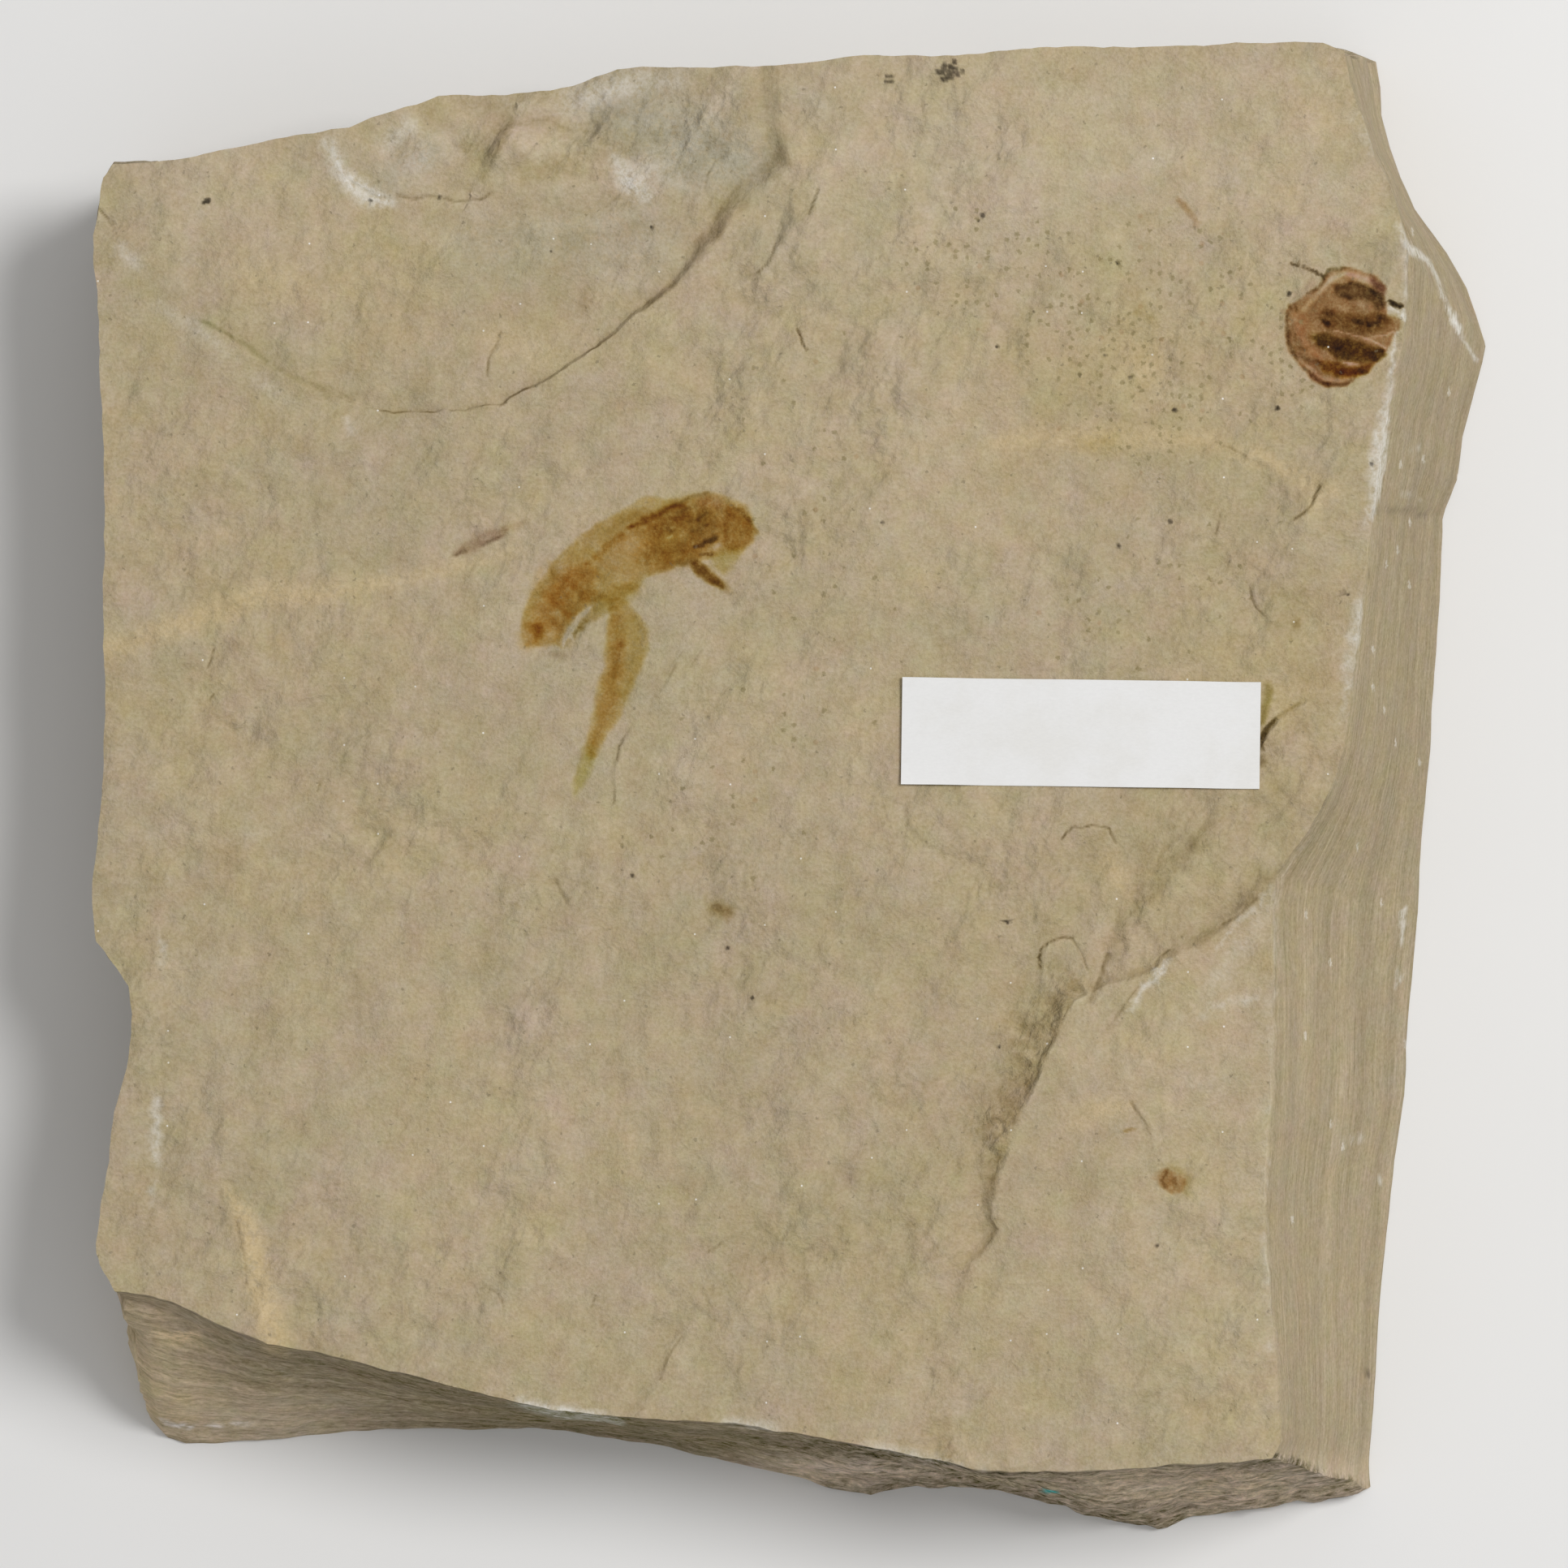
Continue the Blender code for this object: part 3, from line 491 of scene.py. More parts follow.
def start_from_node(node, name):
    """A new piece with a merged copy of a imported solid's mesh, open for editing."""
    piece = bpy.data.objects.new(name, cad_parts[node].data.copy())
    piece.data.name = name
    piece.data.materials.clear()
    bpy.context.collection.objects.link(piece)
    bpy.context.view_layer.objects.active = piece
    piece.select_set(True)
    bpy.ops.mesh.customdata_custom_splitnormals_clear()
    bpy.ops.object.mode_set(mode="EDIT")
    bpy.ops.mesh.select_mode(type="VERT")
    bpy.ops.mesh.select_all(action="SELECT")
    bpy.ops.mesh.remove_doubles(threshold=MERGE_DISTANCE * MM)
    return piece


def rings_down_the_sides(body):
    """The solid's rings of points down its sides, from the top edge to the foot."""
    rings = [{vert for vert in body.verts if vert.co.z < MERGE_DISTANCE * MM}]
    taken = set(rings[0])
    while len(rings) < SIDE_RINGS:
        reached = {edge.other_vert(vert) for vert in rings[-1] for edge in vert.link_edges}
        rings.append(reached - taken)
        taken |= reached
    return rings[::-1]


def doubled_area(outline):
    """Twice an outline's area, positive if it runs anticlockwise."""
    after = np.roll(outline, -1, axis=0)
    return (outline[:, 0] * after[:, 1] - after[:, 0] * outline[:, 1]).sum()


def places_in_order(ring, neighbours):
    """The places of a ring's points in their order round the slab."""
    vert = min(ring, key=lambda one: one.index)
    order = []
    while vert is not None:
        order.append(vert)
        onward = [edge.other_vert(vert) for edge in vert.link_edges
                  if edge.other_vert(vert) in ring and edge.other_vert(vert) not in order[-2:]
                  and any(corner in neighbours for face in edge.link_faces
                          for corner in face.verts)]
        more = onward and onward[0] is not order[0] and len(order) < len(ring)
        vert = onward[0] if more else None
    places = np.array([one.co for one in order])
    return places if doubled_area(places) > 0.0 else places[::-1]


def side_by_side(rings):
    """The rings' places as one array, each turned to start beside the one above."""
    ordered = []
    for number, ring in enumerate(rings):
        beside_it = rings[number - 1] if number else rings[1]
        places = places_in_order(ring, beside_it)
        if ordered:
            above = ordered[-1][:, :2]
            turns = [((np.roll(places[:, :2], turn, axis=0) - above) ** 2).sum()
                     for turn in range(len(places))]
            places = np.roll(places, int(np.argmin(turns)), axis=0)
        ordered.append(places)
    return np.array(ordered)


def keep_top_face(piece):
    """Leaves only the top face, and returns the places of the rings that were below it."""
    body = bmesh.from_edit_mesh(piece.data)
    body.verts.index_update()
    rings = rings_down_the_sides(body)
    places = side_by_side(rings)
    bpy.ops.mesh.select_all(action="DESELECT")
    for ring in rings[1:]:
        for vert in ring:
            vert.select_set(True)
    bmesh.update_edit_mesh(piece.data)
    bpy.ops.mesh.delete(type="VERT")
    return places


def edges_to_divide(body):
    """Numbers of the edges that are too long, and of those that leave no face with two of them."""
    ends = np.array([[vert.co[:2] for vert in edge.verts] for edge in body.edges]) / MM
    ends[:, :, 1] -= DRAWING_SHIFT_Y
    middle = ends.mean(axis=1)
    length = np.hypot(*(ends[:, 1] - ends[:, 0]).T)
    chosen = length > LONGEST_SHARE * wanted_spacing(middle[:, 0], middle[:, 1])
    body.edges.index_update()
    corners = np.array([[edge.index for edge in face.edges] for face in body.faces])
    while True:
        pairs = corners[chosen[corners].sum(axis=1) == 2]
        if not len(pairs):
            return chosen
        chosen[pairs] = True


def divide_top_face(piece):
    """Divides the top face finely, and more finely at its steps, cracks and fossils."""
    bpy.ops.mesh.select_mode(type="EDGE")
    bpy.ops.mesh.select_all(action="SELECT")
    bpy.ops.mesh.subdivide(number_cuts=TOP_CUTS)
    for _ in range(FINE_ROUNDS):
        bpy.ops.mesh.select_all(action="DESELECT")
        body = bmesh.from_edit_mesh(piece.data)
        for edge, is_chosen in zip(body.edges, edges_to_divide(body)):
            edge.select_set(bool(is_chosen))
        bmesh.update_edit_mesh(piece.data)
        bpy.ops.mesh.subdivide(number_cuts=1)
        body = bmesh.from_edit_mesh(piece.data)
        for face in [face for face in body.faces if len(face.verts) == 4]:
            middle = max(face.loops, key=lambda loop: loop.calc_angle())
            opposite = middle.link_loop_next.link_loop_next
            bmesh.utils.face_split(face, middle.vert, opposite.vert)
        bmesh.update_edit_mesh(piece.data)


def drop_sides(piece):
    """Draws the top face's edge straight down in even rows and closes the underside."""
    bpy.ops.mesh.select_all(action="SELECT")
    bpy.ops.mesh.region_to_loop()
    down = {"value": (0.0, 0.0, -SLAB_THICKNESS * MM)}
    bpy.ops.mesh.extrude_edges_move(TRANSFORM_OT_translate=down)
    bpy.ops.mesh.edge_face_add()
    bpy.ops.mesh.select_all(action="DESELECT")
    body = bmesh.from_edit_mesh(piece.data)
    for edge in body.edges:
        start, end = edge.verts
        edge.select_set(abs(start.co.z - end.co.z) > 0.5 * SLAB_THICKNESS * MM)
    bmesh.update_edit_mesh(piece.data)
    bpy.ops.mesh.subdivide(number_cuts=SIDE_ROWS - 1)
    bpy.ops.object.mode_set(mode="OBJECT")


def column_places(rings, edge_places):
    """The rings' places at each point of the finely divided top edge."""
    top = rings[0, :, :2]
    along = np.roll(top, -1, axis=0) - top
    columns = []
    for place in edge_places:
        t = ((place - top) * along).sum(axis=1) / (along ** 2).sum(axis=1)
        t = np.clip(t, 0.0, 1.0)
        off = np.hypot(*(place - top - along * t[:, None]).T)
        nearest = int(np.argmin(off))
        share = t[nearest]
        columns.append(rings[:, nearest] * (1.0 - share)
                       + rings[:, (nearest + 1) % len(top)] * share)
    return np.array(columns).transpose(1, 0, 2)


def side_places(columns):
    """Places of the side's points by row and column, and the outward direction at each."""
    heights = columns[:, :, 2].mean(axis=1)
    rows = []
    for row in range(SIDE_ROWS + 1):
        height = heights[0] * (1.0 - row / SIDE_ROWS)
        lower = int(np.clip(np.searchsorted(-heights, -height), 1, len(heights) - 1))
        share = (heights[lower - 1] - height) / (heights[lower - 1] - heights[lower])
        rows.append(columns[lower - 1] * (1.0 - share) + columns[lower] * share)
    places = np.array(rows)
    along = np.roll(places, -4, axis=1) - np.roll(places, 4, axis=1)
    outward = np.stack([along[:, :, 1], -along[:, :, 0]], axis=2)
    outward /= np.linalg.norm(outward, axis=2, keepdims=True)
    return places, outward


def crumbly_part(x):
    """How much each place along the front face belongs to its crumbly right part."""
    return ease((x - CRUMBLY_FROM) / CRUMBLY_BLEND)


def facing(outward):
    """How much each place of the sides belongs to the right face, and to the front face."""
    right = ease((outward[..., 0] - FACING_FROM) / FACING_BLEND)
    front = ease((-outward[..., 1] - FACING_FROM) / FACING_BLEND) * (1.0 - right)
    return right, front


def break_sides(places, outward):
    """Gives the sides their thin layers and their broken, chipped look."""
    shape = places.shape[:2]
    x, y, z = (places[:, :, axis].ravel() / MM for axis in range(3))
    right, front = (share.ravel() for share in facing(outward))
    rest = 1.0 - right - front
    crumbly = front * crumbly_part(x)
    depth = np.repeat(np.arange(shape[0]) / SIDE_ROWS, shape[1])
    out = np.zeros(x.shape)
    for tall, start, length, *reach in SIDE_LAYERS:
        stands = sum(far * share for far, share in zip(reach, (right, front, crumbly, rest)))
        out += stands * noise_at(x, y, z / tall + start, length)
    out *= ease(depth * SIDE_ROWS / LAYERS_FROM_ROW) * (1.0 + 0.3 * front)
    out -= FOOT_CHIPS * ease((depth - FOOT_FROM) / FOOT_BLEND)
    out -= RIGHT_NOTCH_DEPTH * right * ease((RIGHT_NOTCH_Y - y) / 0.5) * ease(depth * 3.0)
    out += layered_noise(x, y, EDGE_CHIPS) * (1.0 - ease(depth * SIDE_ROWS / EDGE_CHIP_ROWS))
    out = out.reshape(shape)
    padded = np.pad(out, ((LEDGE_ROWS, LEDGE_ROWS), (0, 0)), mode="edge")
    window = 2 * LEDGE_ROWS + 1
    stands_out = out - sum(padded[step:step + shape[0]] for step in range(window)) / window
    stands_out[:LEDGE_ROWS] = 0.0
    return places[:, :, :2] + outward * (out * MM)[:, :, None], stands_out


def points_of(mesh):
    """The places of a mesh's points, in metres."""
    co = np.empty(len(mesh.vertices) * 3)
    mesh.vertices.foreach_get("co", co)
    return co.reshape(-1, 3)


def shape_slab(piece, rings):
    """Moves the points of the top face and the sides to their final places."""
    mesh = piece.data
    co = points_of(mesh)
    underside = max(mesh.polygons, key=lambda face: face.loop_total)
    foot = co[list(underside.vertices)]
    columns = column_places(rings, foot[:, :2])
    places, outward = side_places(columns)
    if doubled_area(foot) < 0.0:
        outward = -outward
    flat, stands_out = break_sides(places, outward)
    column_of = {tuple(np.round(place[:2] / MM, 3)): number for number, place in enumerate(foot)}
    row, column = np.full((2, len(co)), -1)
    for number, place in enumerate(co):
        found = column_of.get(tuple(np.round(place[:2] / MM, 3)))
        if found is not None:
            column[number] = found
            fall = foot[found, 2] / MM + SLAB_THICKNESS - place[2] / MM
            row[number] = round(fall / SLAB_THICKNESS * SIDE_ROWS)
    sides = row >= 0
    cad_top = places[0, :, 2].copy()
    co[sides, :2] = flat[row[sides], column[sides]]
    co[sides, 2] = places[row[sides], column[sides], 2]
    top = row <= 0
    x, y = co[top, 0] / MM, co[top, 1] / MM - DRAWING_SHIFT_Y
    co[top, 2] = bedding_height(x, y) * MM
    edge_height = np.zeros(len(foot))
    on_edge = row == 0
    edge_height[column[on_edge]] = co[on_edge, 2]
    below = row > 0
    share = np.clip(1.0 - row[below] / (SIDE_ROWS * EDGE_SHARE), 0.0, 1.0)
    co[below, 2] += (edge_height - cad_top)[column[below]] * share
    mesh.vertices.foreach_set("co", co.ravel())
    mesh.update()
    return row, column, outward, stands_out


slab = start_from_node("slab", "shale_slab")
slab_rings = keep_top_face(slab)
divide_top_face(slab)
drop_sides(slab)
slab_row, slab_column, slab_outward, slab_ledges = shape_slab(slab, slab_rings)
bpy.ops.object.mode_set(mode="EDIT")
bpy.ops.mesh.select_all(action="SELECT")
bpy.ops.mesh.quads_convert_to_tris(quad_method="BEAUTY", ngon_method="BEAUTY")
bpy.ops.mesh.normals_make_consistent(inside=False)
bpy.ops.object.mode_set(mode="OBJECT")
bpy.ops.object.shade_smooth_by_angle(angle=math.radians(SHARP_EDGE))

# The stains, as strokes and patches: (strengths, blur, shape). The strengths are those of brown,
# black, rose and olive, and any that are left out are 0. A stroke's shape is a line of
# (x, y, half width), and a patch's is an outline.
CRICKET_PATCHES = [
    ((0.8, 0.02, 0.0, 0.16), 0.4, [ (-20.2, 10.8), (-20.4, 11.6), (-20.35, 12.6), (-20.1, 13.5),
        (-19.8, 14.3), (-19.3, 15.1), (-18.7, 15.9), (-18.35, 16.5), (-17.9, 17.2), (-17.2, 17.9),
        (-16.5, 18.5), (-15.9, 19.1), (-15.2, 19.5), (-14.5, 20.0), (-13.8, 20.35), (-13.1, 20.7),
        (-12.4, 21.2), (-11.8, 21.6), (-11.0, 21.85), (-10.2, 21.75), (-9.6, 21.6), (-8.9, 21.75),
        (-8.2, 21.9), (-7.4, 22.05), (-6.9, 22.2), (-6.4, 22.1), (-5.7, 22.0), (-5.0, 21.8),
        (-4.4, 21.5), (-3.85, 21.1), (-3.5, 20.6), (-3.25, 20.0), (-2.95, 19.5), (-2.9, 19.15),
        (-3.2, 18.95), (-3.35, 18.5), (-3.75, 18.1), (-4.1, 17.7), (-4.9, 17.6), (-5.7, 17.6),
        (-6.4, 17.4), (-7.0, 17.1), (-7.6, 17.0), (-8.2, 16.95), (-8.9, 17.0), (-9.3, 16.6),
        (-9.9, 16.3), (-10.5, 16.1), (-11.1, 15.9), (-11.5, 15.5), (-11.9, 15.0), (-12.5, 14.6),
        (-13.2, 14.3), (-14.0, 14.1), (-14.8, 14.0), (-15.4, 14.0), (-15.9, 13.5), (-16.4, 12.9),
        (-16.9, 12.4), (-17.2, 11.9), (-17.3, 11.4), (-17.6, 10.9), (-18.4, 10.9), (-19.2, 10.85),
        (-19.8, 10.75)]),
    ((0.3, 0.0, 0.02, -0.12), 0.5, [ (-19.9, 11.0), (-19.9, 12.4), (-19.5, 13.8), (-18.8, 15.0),
        (-17.9, 16.0), (-16.8, 16.4), (-15.9, 16.8), (-15.0, 17.5), (-14.2, 18.3), (-13.5, 18.9),
        (-12.6, 19.6), (-11.5, 20.1), (-10.6, 20.5), (-9.7, 21.0), (-8.6, 21.3), (-7.0, 21.8),
        (-5.0, 21.5), (-3.6, 20.6), (-3.0, 19.3), (-3.6, 18.4), (-5.6, 17.9), (-7.2, 17.3),
        (-8.9, 17.2), (-9.9, 16.6), (-11.2, 16.2), (-13.0, 14.9), (-15.4, 14.2), (-16.9, 12.6),
        (-17.6, 11.2)]),
    ((0.8, 0.0, 0.03, -0.02), 1.5, [ (-19.9, 11.1), (-19.95, 12.2), (-19.3, 13.0), (-19.0, 14.0),
        (-18.5, 15.0), (-17.7, 15.9), (-16.6, 16.7), (-15.5, 17.0), (-14.9, 16.3), (-14.8, 15.2),
        (-15.0, 14.3), (-15.8, 13.8), (-16.5, 13.1), (-17.0, 12.5), (-17.8, 12.2), (-18.5, 12.1),
        (-18.8, 11.1)]),
    ((1.3, 0.16, 0.0, 0.03), 2.2, [ (-11.4, 17.4), (-11.6, 18.8), (-11.2, 20.0), (-9.8, 20.8),
        (-8.2, 21.4), (-6.4, 21.5), (-5.4, 20.8), (-5.5, 19.4), (-6.4, 18.6), (-7.6, 17.4),
        (-9.0, 17.1), (-10.4, 16.9)]),
    ((1.1, 0.08), 0.5, [ (-5.4, 18.0), (-5.5, 19.5), (-5.4, 21.0), (-4.8, 21.3), (-4.0, 21.0),
        (-3.5, 20.3), (-3.1, 19.4), (-3.3, 19.0), (-3.5, 18.6), (-4.1, 18.1), (-4.7, 17.9)]),
    ((0.45, 0.04, 0.0, 0.55), 0.9, [ (-6.6, 17.4), (-6.2, 16.7), (-5.4, 16.2), (-4.8, 16.7),
        (-4.2, 17.4), (-4.0, 18.0), (-4.8, 18.2), (-5.8, 17.7)]),
    ((0.5, 0.04, 0.0, 0.2), 0.8, [ (-15.6, 14.2), (-14.6, 14.7), (-13.4, 15.1), (-12.2, 15.3),
        (-11.5, 15.3), (-11.8, 14.7), (-12.4, 14.0), (-13.4, 13.5), (-14.4, 13.6), (-15.2, 13.5)]),
    ((0.85, 0.0, 0.0, 0.2), 0.5, [ (-13.9, 14.3), (-13.85, 13.0), (-13.95, 12.2), (-14.1, 11.2),
        (-14.25, 10.4), (-14.15, 9.6), (-14.3, 8.8), (-14.65, 8.2), (-14.85, 7.2), (-14.95, 6.3),
        (-15.15, 5.5), (-15.35, 4.6), (-15.55, 3.8), (-15.65, 3.3), (-15.3, 2.6), (-15.1, 2.5),
        (-14.9, 2.6), (-14.6, 3.3), (-14.3, 3.9), (-13.95, 4.4), (-13.6, 4.9), (-13.2, 5.5),
        (-12.9, 6.2), (-12.5, 7.0), (-12.25, 7.6), (-11.95, 8.3), (-11.6, 9.1), (-11.3, 9.9),
        (-11.0, 10.6), (-10.95, 11.4), (-11.1, 12.2), (-11.6, 13.0), (-12.3, 13.7),
        (-12.8, 14.4)])]
CRICKET_STROKES = [
    ((0.4,), 1.4, [(-14.9, 3.8, 0.3), (-15.5, 2.0, 0.2)]),
    ((3.0, 0.3), 0.55, [ (-8.4, 21.3, 0.06), (-9.4, 21.05, 0.14), (-10.4, 20.5, 0.18),
        (-11.4, 20.05, 0.2), (-12.3, 19.6, 0.12)]),
    ((1.3, 0.1), 0.6, [ (-12.1, 19.7, 0.1), (-12.9, 19.15, 0.2), (-13.6, 18.55, 0.16),
        (-14.2, 18.0, 0.18), (-14.9, 17.4, 0.15), (-15.6, 16.8, 0.1)]),
    ((0.5, 0.05), 0.4, [(-5.05, 21.2, 0.15), (-5.1, 20.0, 0.2), (-5.25, 18.6, 0.18),
        (-5.1, 17.9, 0.08)]),
    ((0.55,), 0.7, [(-3.9, 21.0, 0.2), (-3.6, 20.2, 0.3), (-3.5, 19.2, 0.25)]),
    ((0.7, 0.25), 0.25, [(-3.1, 19.6, 0.05), (-2.9, 19.3, 0.12)]),
    ((2.7, 0.6, 0.0, 0.14), 0.5, [(-7.5, 16.9, 0.25), (-7.0, 16.4, 0.42), (-6.4, 15.9, 0.36),
        (-5.9, 15.5, 0.22), (-5.5, 15.25, 0.08)]),
    ((0.6, 0.2, 0.0, 0.08), 0.5, [(-5.9, 15.6, 0.3), (-5.3, 15.2, 0.26), (-4.9, 14.8, 0.1)]),
    ((0.0, 0.16), 0.5, [(-5.2, 15.0, 0.1), (-4.7, 14.4, 0.15), (-4.6, 14.0, 0.1)]),
    ((0.6, 0.1, 0.0, 0.2), 0.45, [(-13.9, 13.8, 0.4), (-14.7, 13.3, 0.38), (-15.4, 12.9, 0.3),
        (-16.0, 12.3, 0.22)]),
    ((0.7, 0.45, 0.0, 0.2), 0.3, [(-15.5, 12.7, 0.1), (-16.1, 12.2, 0.16), (-16.5, 11.7, 0.16),
        (-16.85, 11.1, 0.1)]),
    ((0.35, 0.0, 0.0, 0.05), 0.8, [(-17.6, 11.4, 0.4), (-17.0, 11.3, 0.5)]),
    ((0.6, 0.03, 0.04, -0.1), 0.7, [ (-13.3, 12.8, 0.45), (-13.3, 11.2, 0.62), (-13.4, 9.8, 0.66),
        (-13.6, 8.4, 0.6), (-13.9, 7.0, 0.6), (-14.25, 5.8, 0.5), (-14.55, 4.8, 0.3),
        (-14.9, 3.9, 0.16), (-15.1, 3.1, 0.05)]),
    ((0.16, 0.0, 0.0, 0.5), 0.6, [(-15.2, 3.3, 0.3), (-15.5, 2.2, 0.5), (-15.8, 1.4, 0.46),
        (-16.1, 0.7, 0.4), (-16.4, -0.1, 0.15)]),
    ((0.25, 0.08, 0.0, 0.1), 0.3, [(-15.75, 3.3, 0.1), (-16.1, 1.9, 0.14), (-16.3, 1.0, 0.08)]),
    ((0.7, 0.1, 0.15), 0.6, [(-13.2, 11.0, 0.25), (-12.95, 10.8, 0.2)]),
    ((0.3, 0.05), 0.6, [(-13.5, 10.4, 0.3), (-13.5, 9.0, 0.3)]),
    ((0.6, 0.1, 0.05), 0.3, [(-13.55, 5.95, 0.12), (-13.5, 5.6, 0.12)]),
    ((1.9, -0.2, -0.1, 0.3), 0.6, [(-19.2, 12.2, 0.3), (-19.1, 11.6, 0.32)]),
    ((0.4,), 0.8, [(-17.6, 14.2, 0.45), (-17.2, 14.1, 0.4)]),
    ((0.75, 0.02, 0.0, 0.05), 0.6, [(-16.9, 13.3, 0.25), (-16.3, 13.6, 0.3)]),
    ((0.6, 0.02, 0.0, 0.05), 0.6, [(-15.8, 14.4, 0.3), (-15.2, 14.7, 0.3)]),
    ((0.15,), 0.6, [(-16.0, 16.6, 0.3), (-15.5, 16.4, 0.3)]),
    ((0.5, 0.0, 0.05), 0.7, [(-17.3, 15.5, 0.3), (-16.6, 15.4, 0.3)]),
    ((0.45, 0.05, 0.05), 0.7, [(-18.6, 12.9, 0.25), (-17.6, 12.3, 0.25)]),
    ((1.2, 1.1), 0.25, [(-6.8, 18.5, 0.14), (-6.3, 18.65, 0.22), (-6.0, 18.8, 0.14)]),
    ((1.0, 0.9, 0.1), 0.25, [(-7.5, 18.15, 0.12), (-7.0, 18.3, 0.16)]),
    ((1.0, 0.7, 0.1), 0.25, [(-7.1, 17.6, 0.1), (-6.3, 17.62, 0.09)]),
    ((0.6, 0.5), 0.25, [(-6.2, 19.05, 0.08), (-5.9, 18.95, 0.1)]),
    ((0.6, 0.4), 0.3, [(-7.9, 19.4, 0.1), (-7.1, 19.55, 0.12), (-6.5, 19.9, 0.08)]),
    ((0.5, 0.4), 0.3, [(-9.6, 19.6, 0.12), (-9.2, 19.3, 0.12)]),
    ((0.5, 0.4), 0.3, [(-7.3, 20.8, 0.08), (-7.2, 19.9, 0.1)]),
    ((0.4, 0.4), 0.3, [(-4.6, 21.1, 0.1), (-3.9, 20.6, 0.16), (-3.3, 19.9, 0.12)]),
    ((0.5, 0.45), 0.3, [(-9.0, 21.3, 0.08), (-7.6, 21.95, 0.08), (-6.6, 22.1, 0.1)]),
    ((0.6, 0.35, 0.0, 0.05), 0.35, [(-8.8, 17.0, 0.12), (-8.1, 17.0, 0.16), (-7.5, 17.2, 0.14)]),
    ((-0.35, 0.0, 0.44), 0.9, [(-7.0, 21.5, 0.4), (-6.0, 21.4, 0.4)]),
    ((0.55, -0.03, 0.0, 0.04), 0.9, [(-10.6, 17.0, 0.3), (-9.4, 17.4, 0.4), (-8.4, 17.5, 0.3)]),
    ((0.3, 0.1, 0.0, 0.05), 0.7, [(-14.0, 19.4, 0.3), (-12.6, 20.2, 0.3), (-11.2, 21.0, 0.3)]),
    ((-0.1, -0.1), 0.7, [(-18.6, 16.2, 0.2), (-17.6, 17.2, 0.25), (-16.4, 18.2, 0.2)]),
    ((0.3, 0.35), 0.35, [(-8.9, 20.6, 0.1), (-8.1, 21.0, 0.14), (-7.4, 21.2, 0.1)]),
    ((0.3, 0.4), 0.3, [(-8.0, 20.0, 0.08), (-7.3, 20.2, 0.1), (-6.6, 20.7, 0.08)]),
    ((-0.35, -0.12, 0.0, 0.08), 0.9, [(-10.6, 18.6, 0.4), (-9.2, 18.9, 0.5), (-8.2, 19.0, 0.3)]),
    ((-0.9, -0.3, 0.12), 0.4, [(-6.0, 18.1, 0.16), (-5.7, 18.3, 0.2)]),
    ((-1.6, -0.5), 0.2, [(-9.5, 18.8, 0.1), (-9.2, 18.95, 0.1)]),
    ((-1.6, -0.5), 0.2, [(-8.65, 18.95, 0.08), (-8.5, 19.0, 0.08)]),
    ((-0.25, -0.15, 0.06), 1.4, [(-14.2, 17.0, 0.6), (-12.8, 17.8, 0.7), (-11.4, 18.3, 0.4)]),
    ((0.25, 0.02, 0.04), 0.5, [(-17.0, 11.9, 0.2), (-16.0, 13.1, 0.3), (-15.0, 14.0, 0.3)]),
    ((0.3,), 0.7, [(-18.9, 16.4, 0.3), (-19.5, 14.9, 0.3), (-19.9, 13.4, 0.3)]),
    ((0.75, 0.1, 0.04), 0.8, [(-10.4, 19.4, 0.4), (-9.4, 19.9, 0.5), (-8.4, 20.6, 0.4)]),
    ((-0.25,), 1.4, [(-13.4, 15.4, 0.5), (-11.8, 16.2, 0.5)]),
    ((0.45, 0.1), 0.45, [(-10.8, 16.2, 0.12), (-9.8, 16.5, 0.16), (-9.2, 16.9, 0.12)]),
    ((0.3, 0.05, 0.0, 0.1), 0.5, [(-18.3, 16.9, 0.2), (-18.1, 16.2, 0.2)]),
    ((0.4, 0.05, 0.0, 0.12), 0.5, [(-13.4, 15.2, 0.2), (-11.9, 15.3, 0.15)]),
    ((0.25, 0.14, 0.0, 0.1), 0.9, [(-19.4, 14.0, 0.2), (-18.7, 15.3, 0.3), (-17.4, 16.9, 0.25)]),
    ((-0.25, -0.12), 0.6, [(-12.6, 21.0, 0.2), (-11.2, 21.4, 0.25), (-10.2, 21.4, 0.1)]),
    ((0.0, 0.0, 0.0, 0.08), 1.0, [(-10.4, 17.4, 0.3), (-8.8, 17.8, 0.5), (-7.8, 17.6, 0.3)]),
    ((0.4, -0.08), 1.4, [(-18.0, 14.4, 0.5), (-16.6, 15.8, 0.6)]),
    ((0.25, 0.04), 0.6, [(-16.4, 16.2, 0.3), (-15.2, 16.1, 0.3)]),
    ((0.1, 0.05, 0.0, 0.05), 0.5, [(-17.9, 14.3, 0.2), (-17.3, 14.5, 0.25)]),
    ((-0.4,), 0.5, [(-18.6, 13.2, 0.14), (-17.8, 13.2, 0.2), (-17.2, 12.9, 0.14)]),
    ((0.9, -0.2), 0.7, [(-19.25, 12.1, 0.35), (-19.15, 11.9, 0.35)]),
    ((-0.45,), 0.5, [(-18.2, 11.6, 0.2), (-17.8, 12.0, 0.2)]),
    ((-0.9, -0.3, 0.0, -0.2), 0.3, [(-15.1, 13.85, 0.06), (-16.0, 13.0, 0.14), (-16.8, 12.0, 0.16),
        (-17.1, 11.3, 0.1)]),
    ((0.1, 0.28, 0.14), 0.4, [(-18.2, 10.4, 0.12), (-17.2, 10.15, 0.16)]),
    ((0.25, 0.0, 0.0, 0.15), 0.6, [(-20.6, 11.8, 0.1), (-20.4, 10.8, 0.2), (-19.6, 10.5, 0.1)]),
    ((0.25, 0.05, 0.0, 0.05), 0.5, [(-13.3, 12.0, 0.12), (-13.3, 10.6, 0.22), (-13.5, 8.8, 0.2),
        (-13.9, 7.4, 0.12)]),
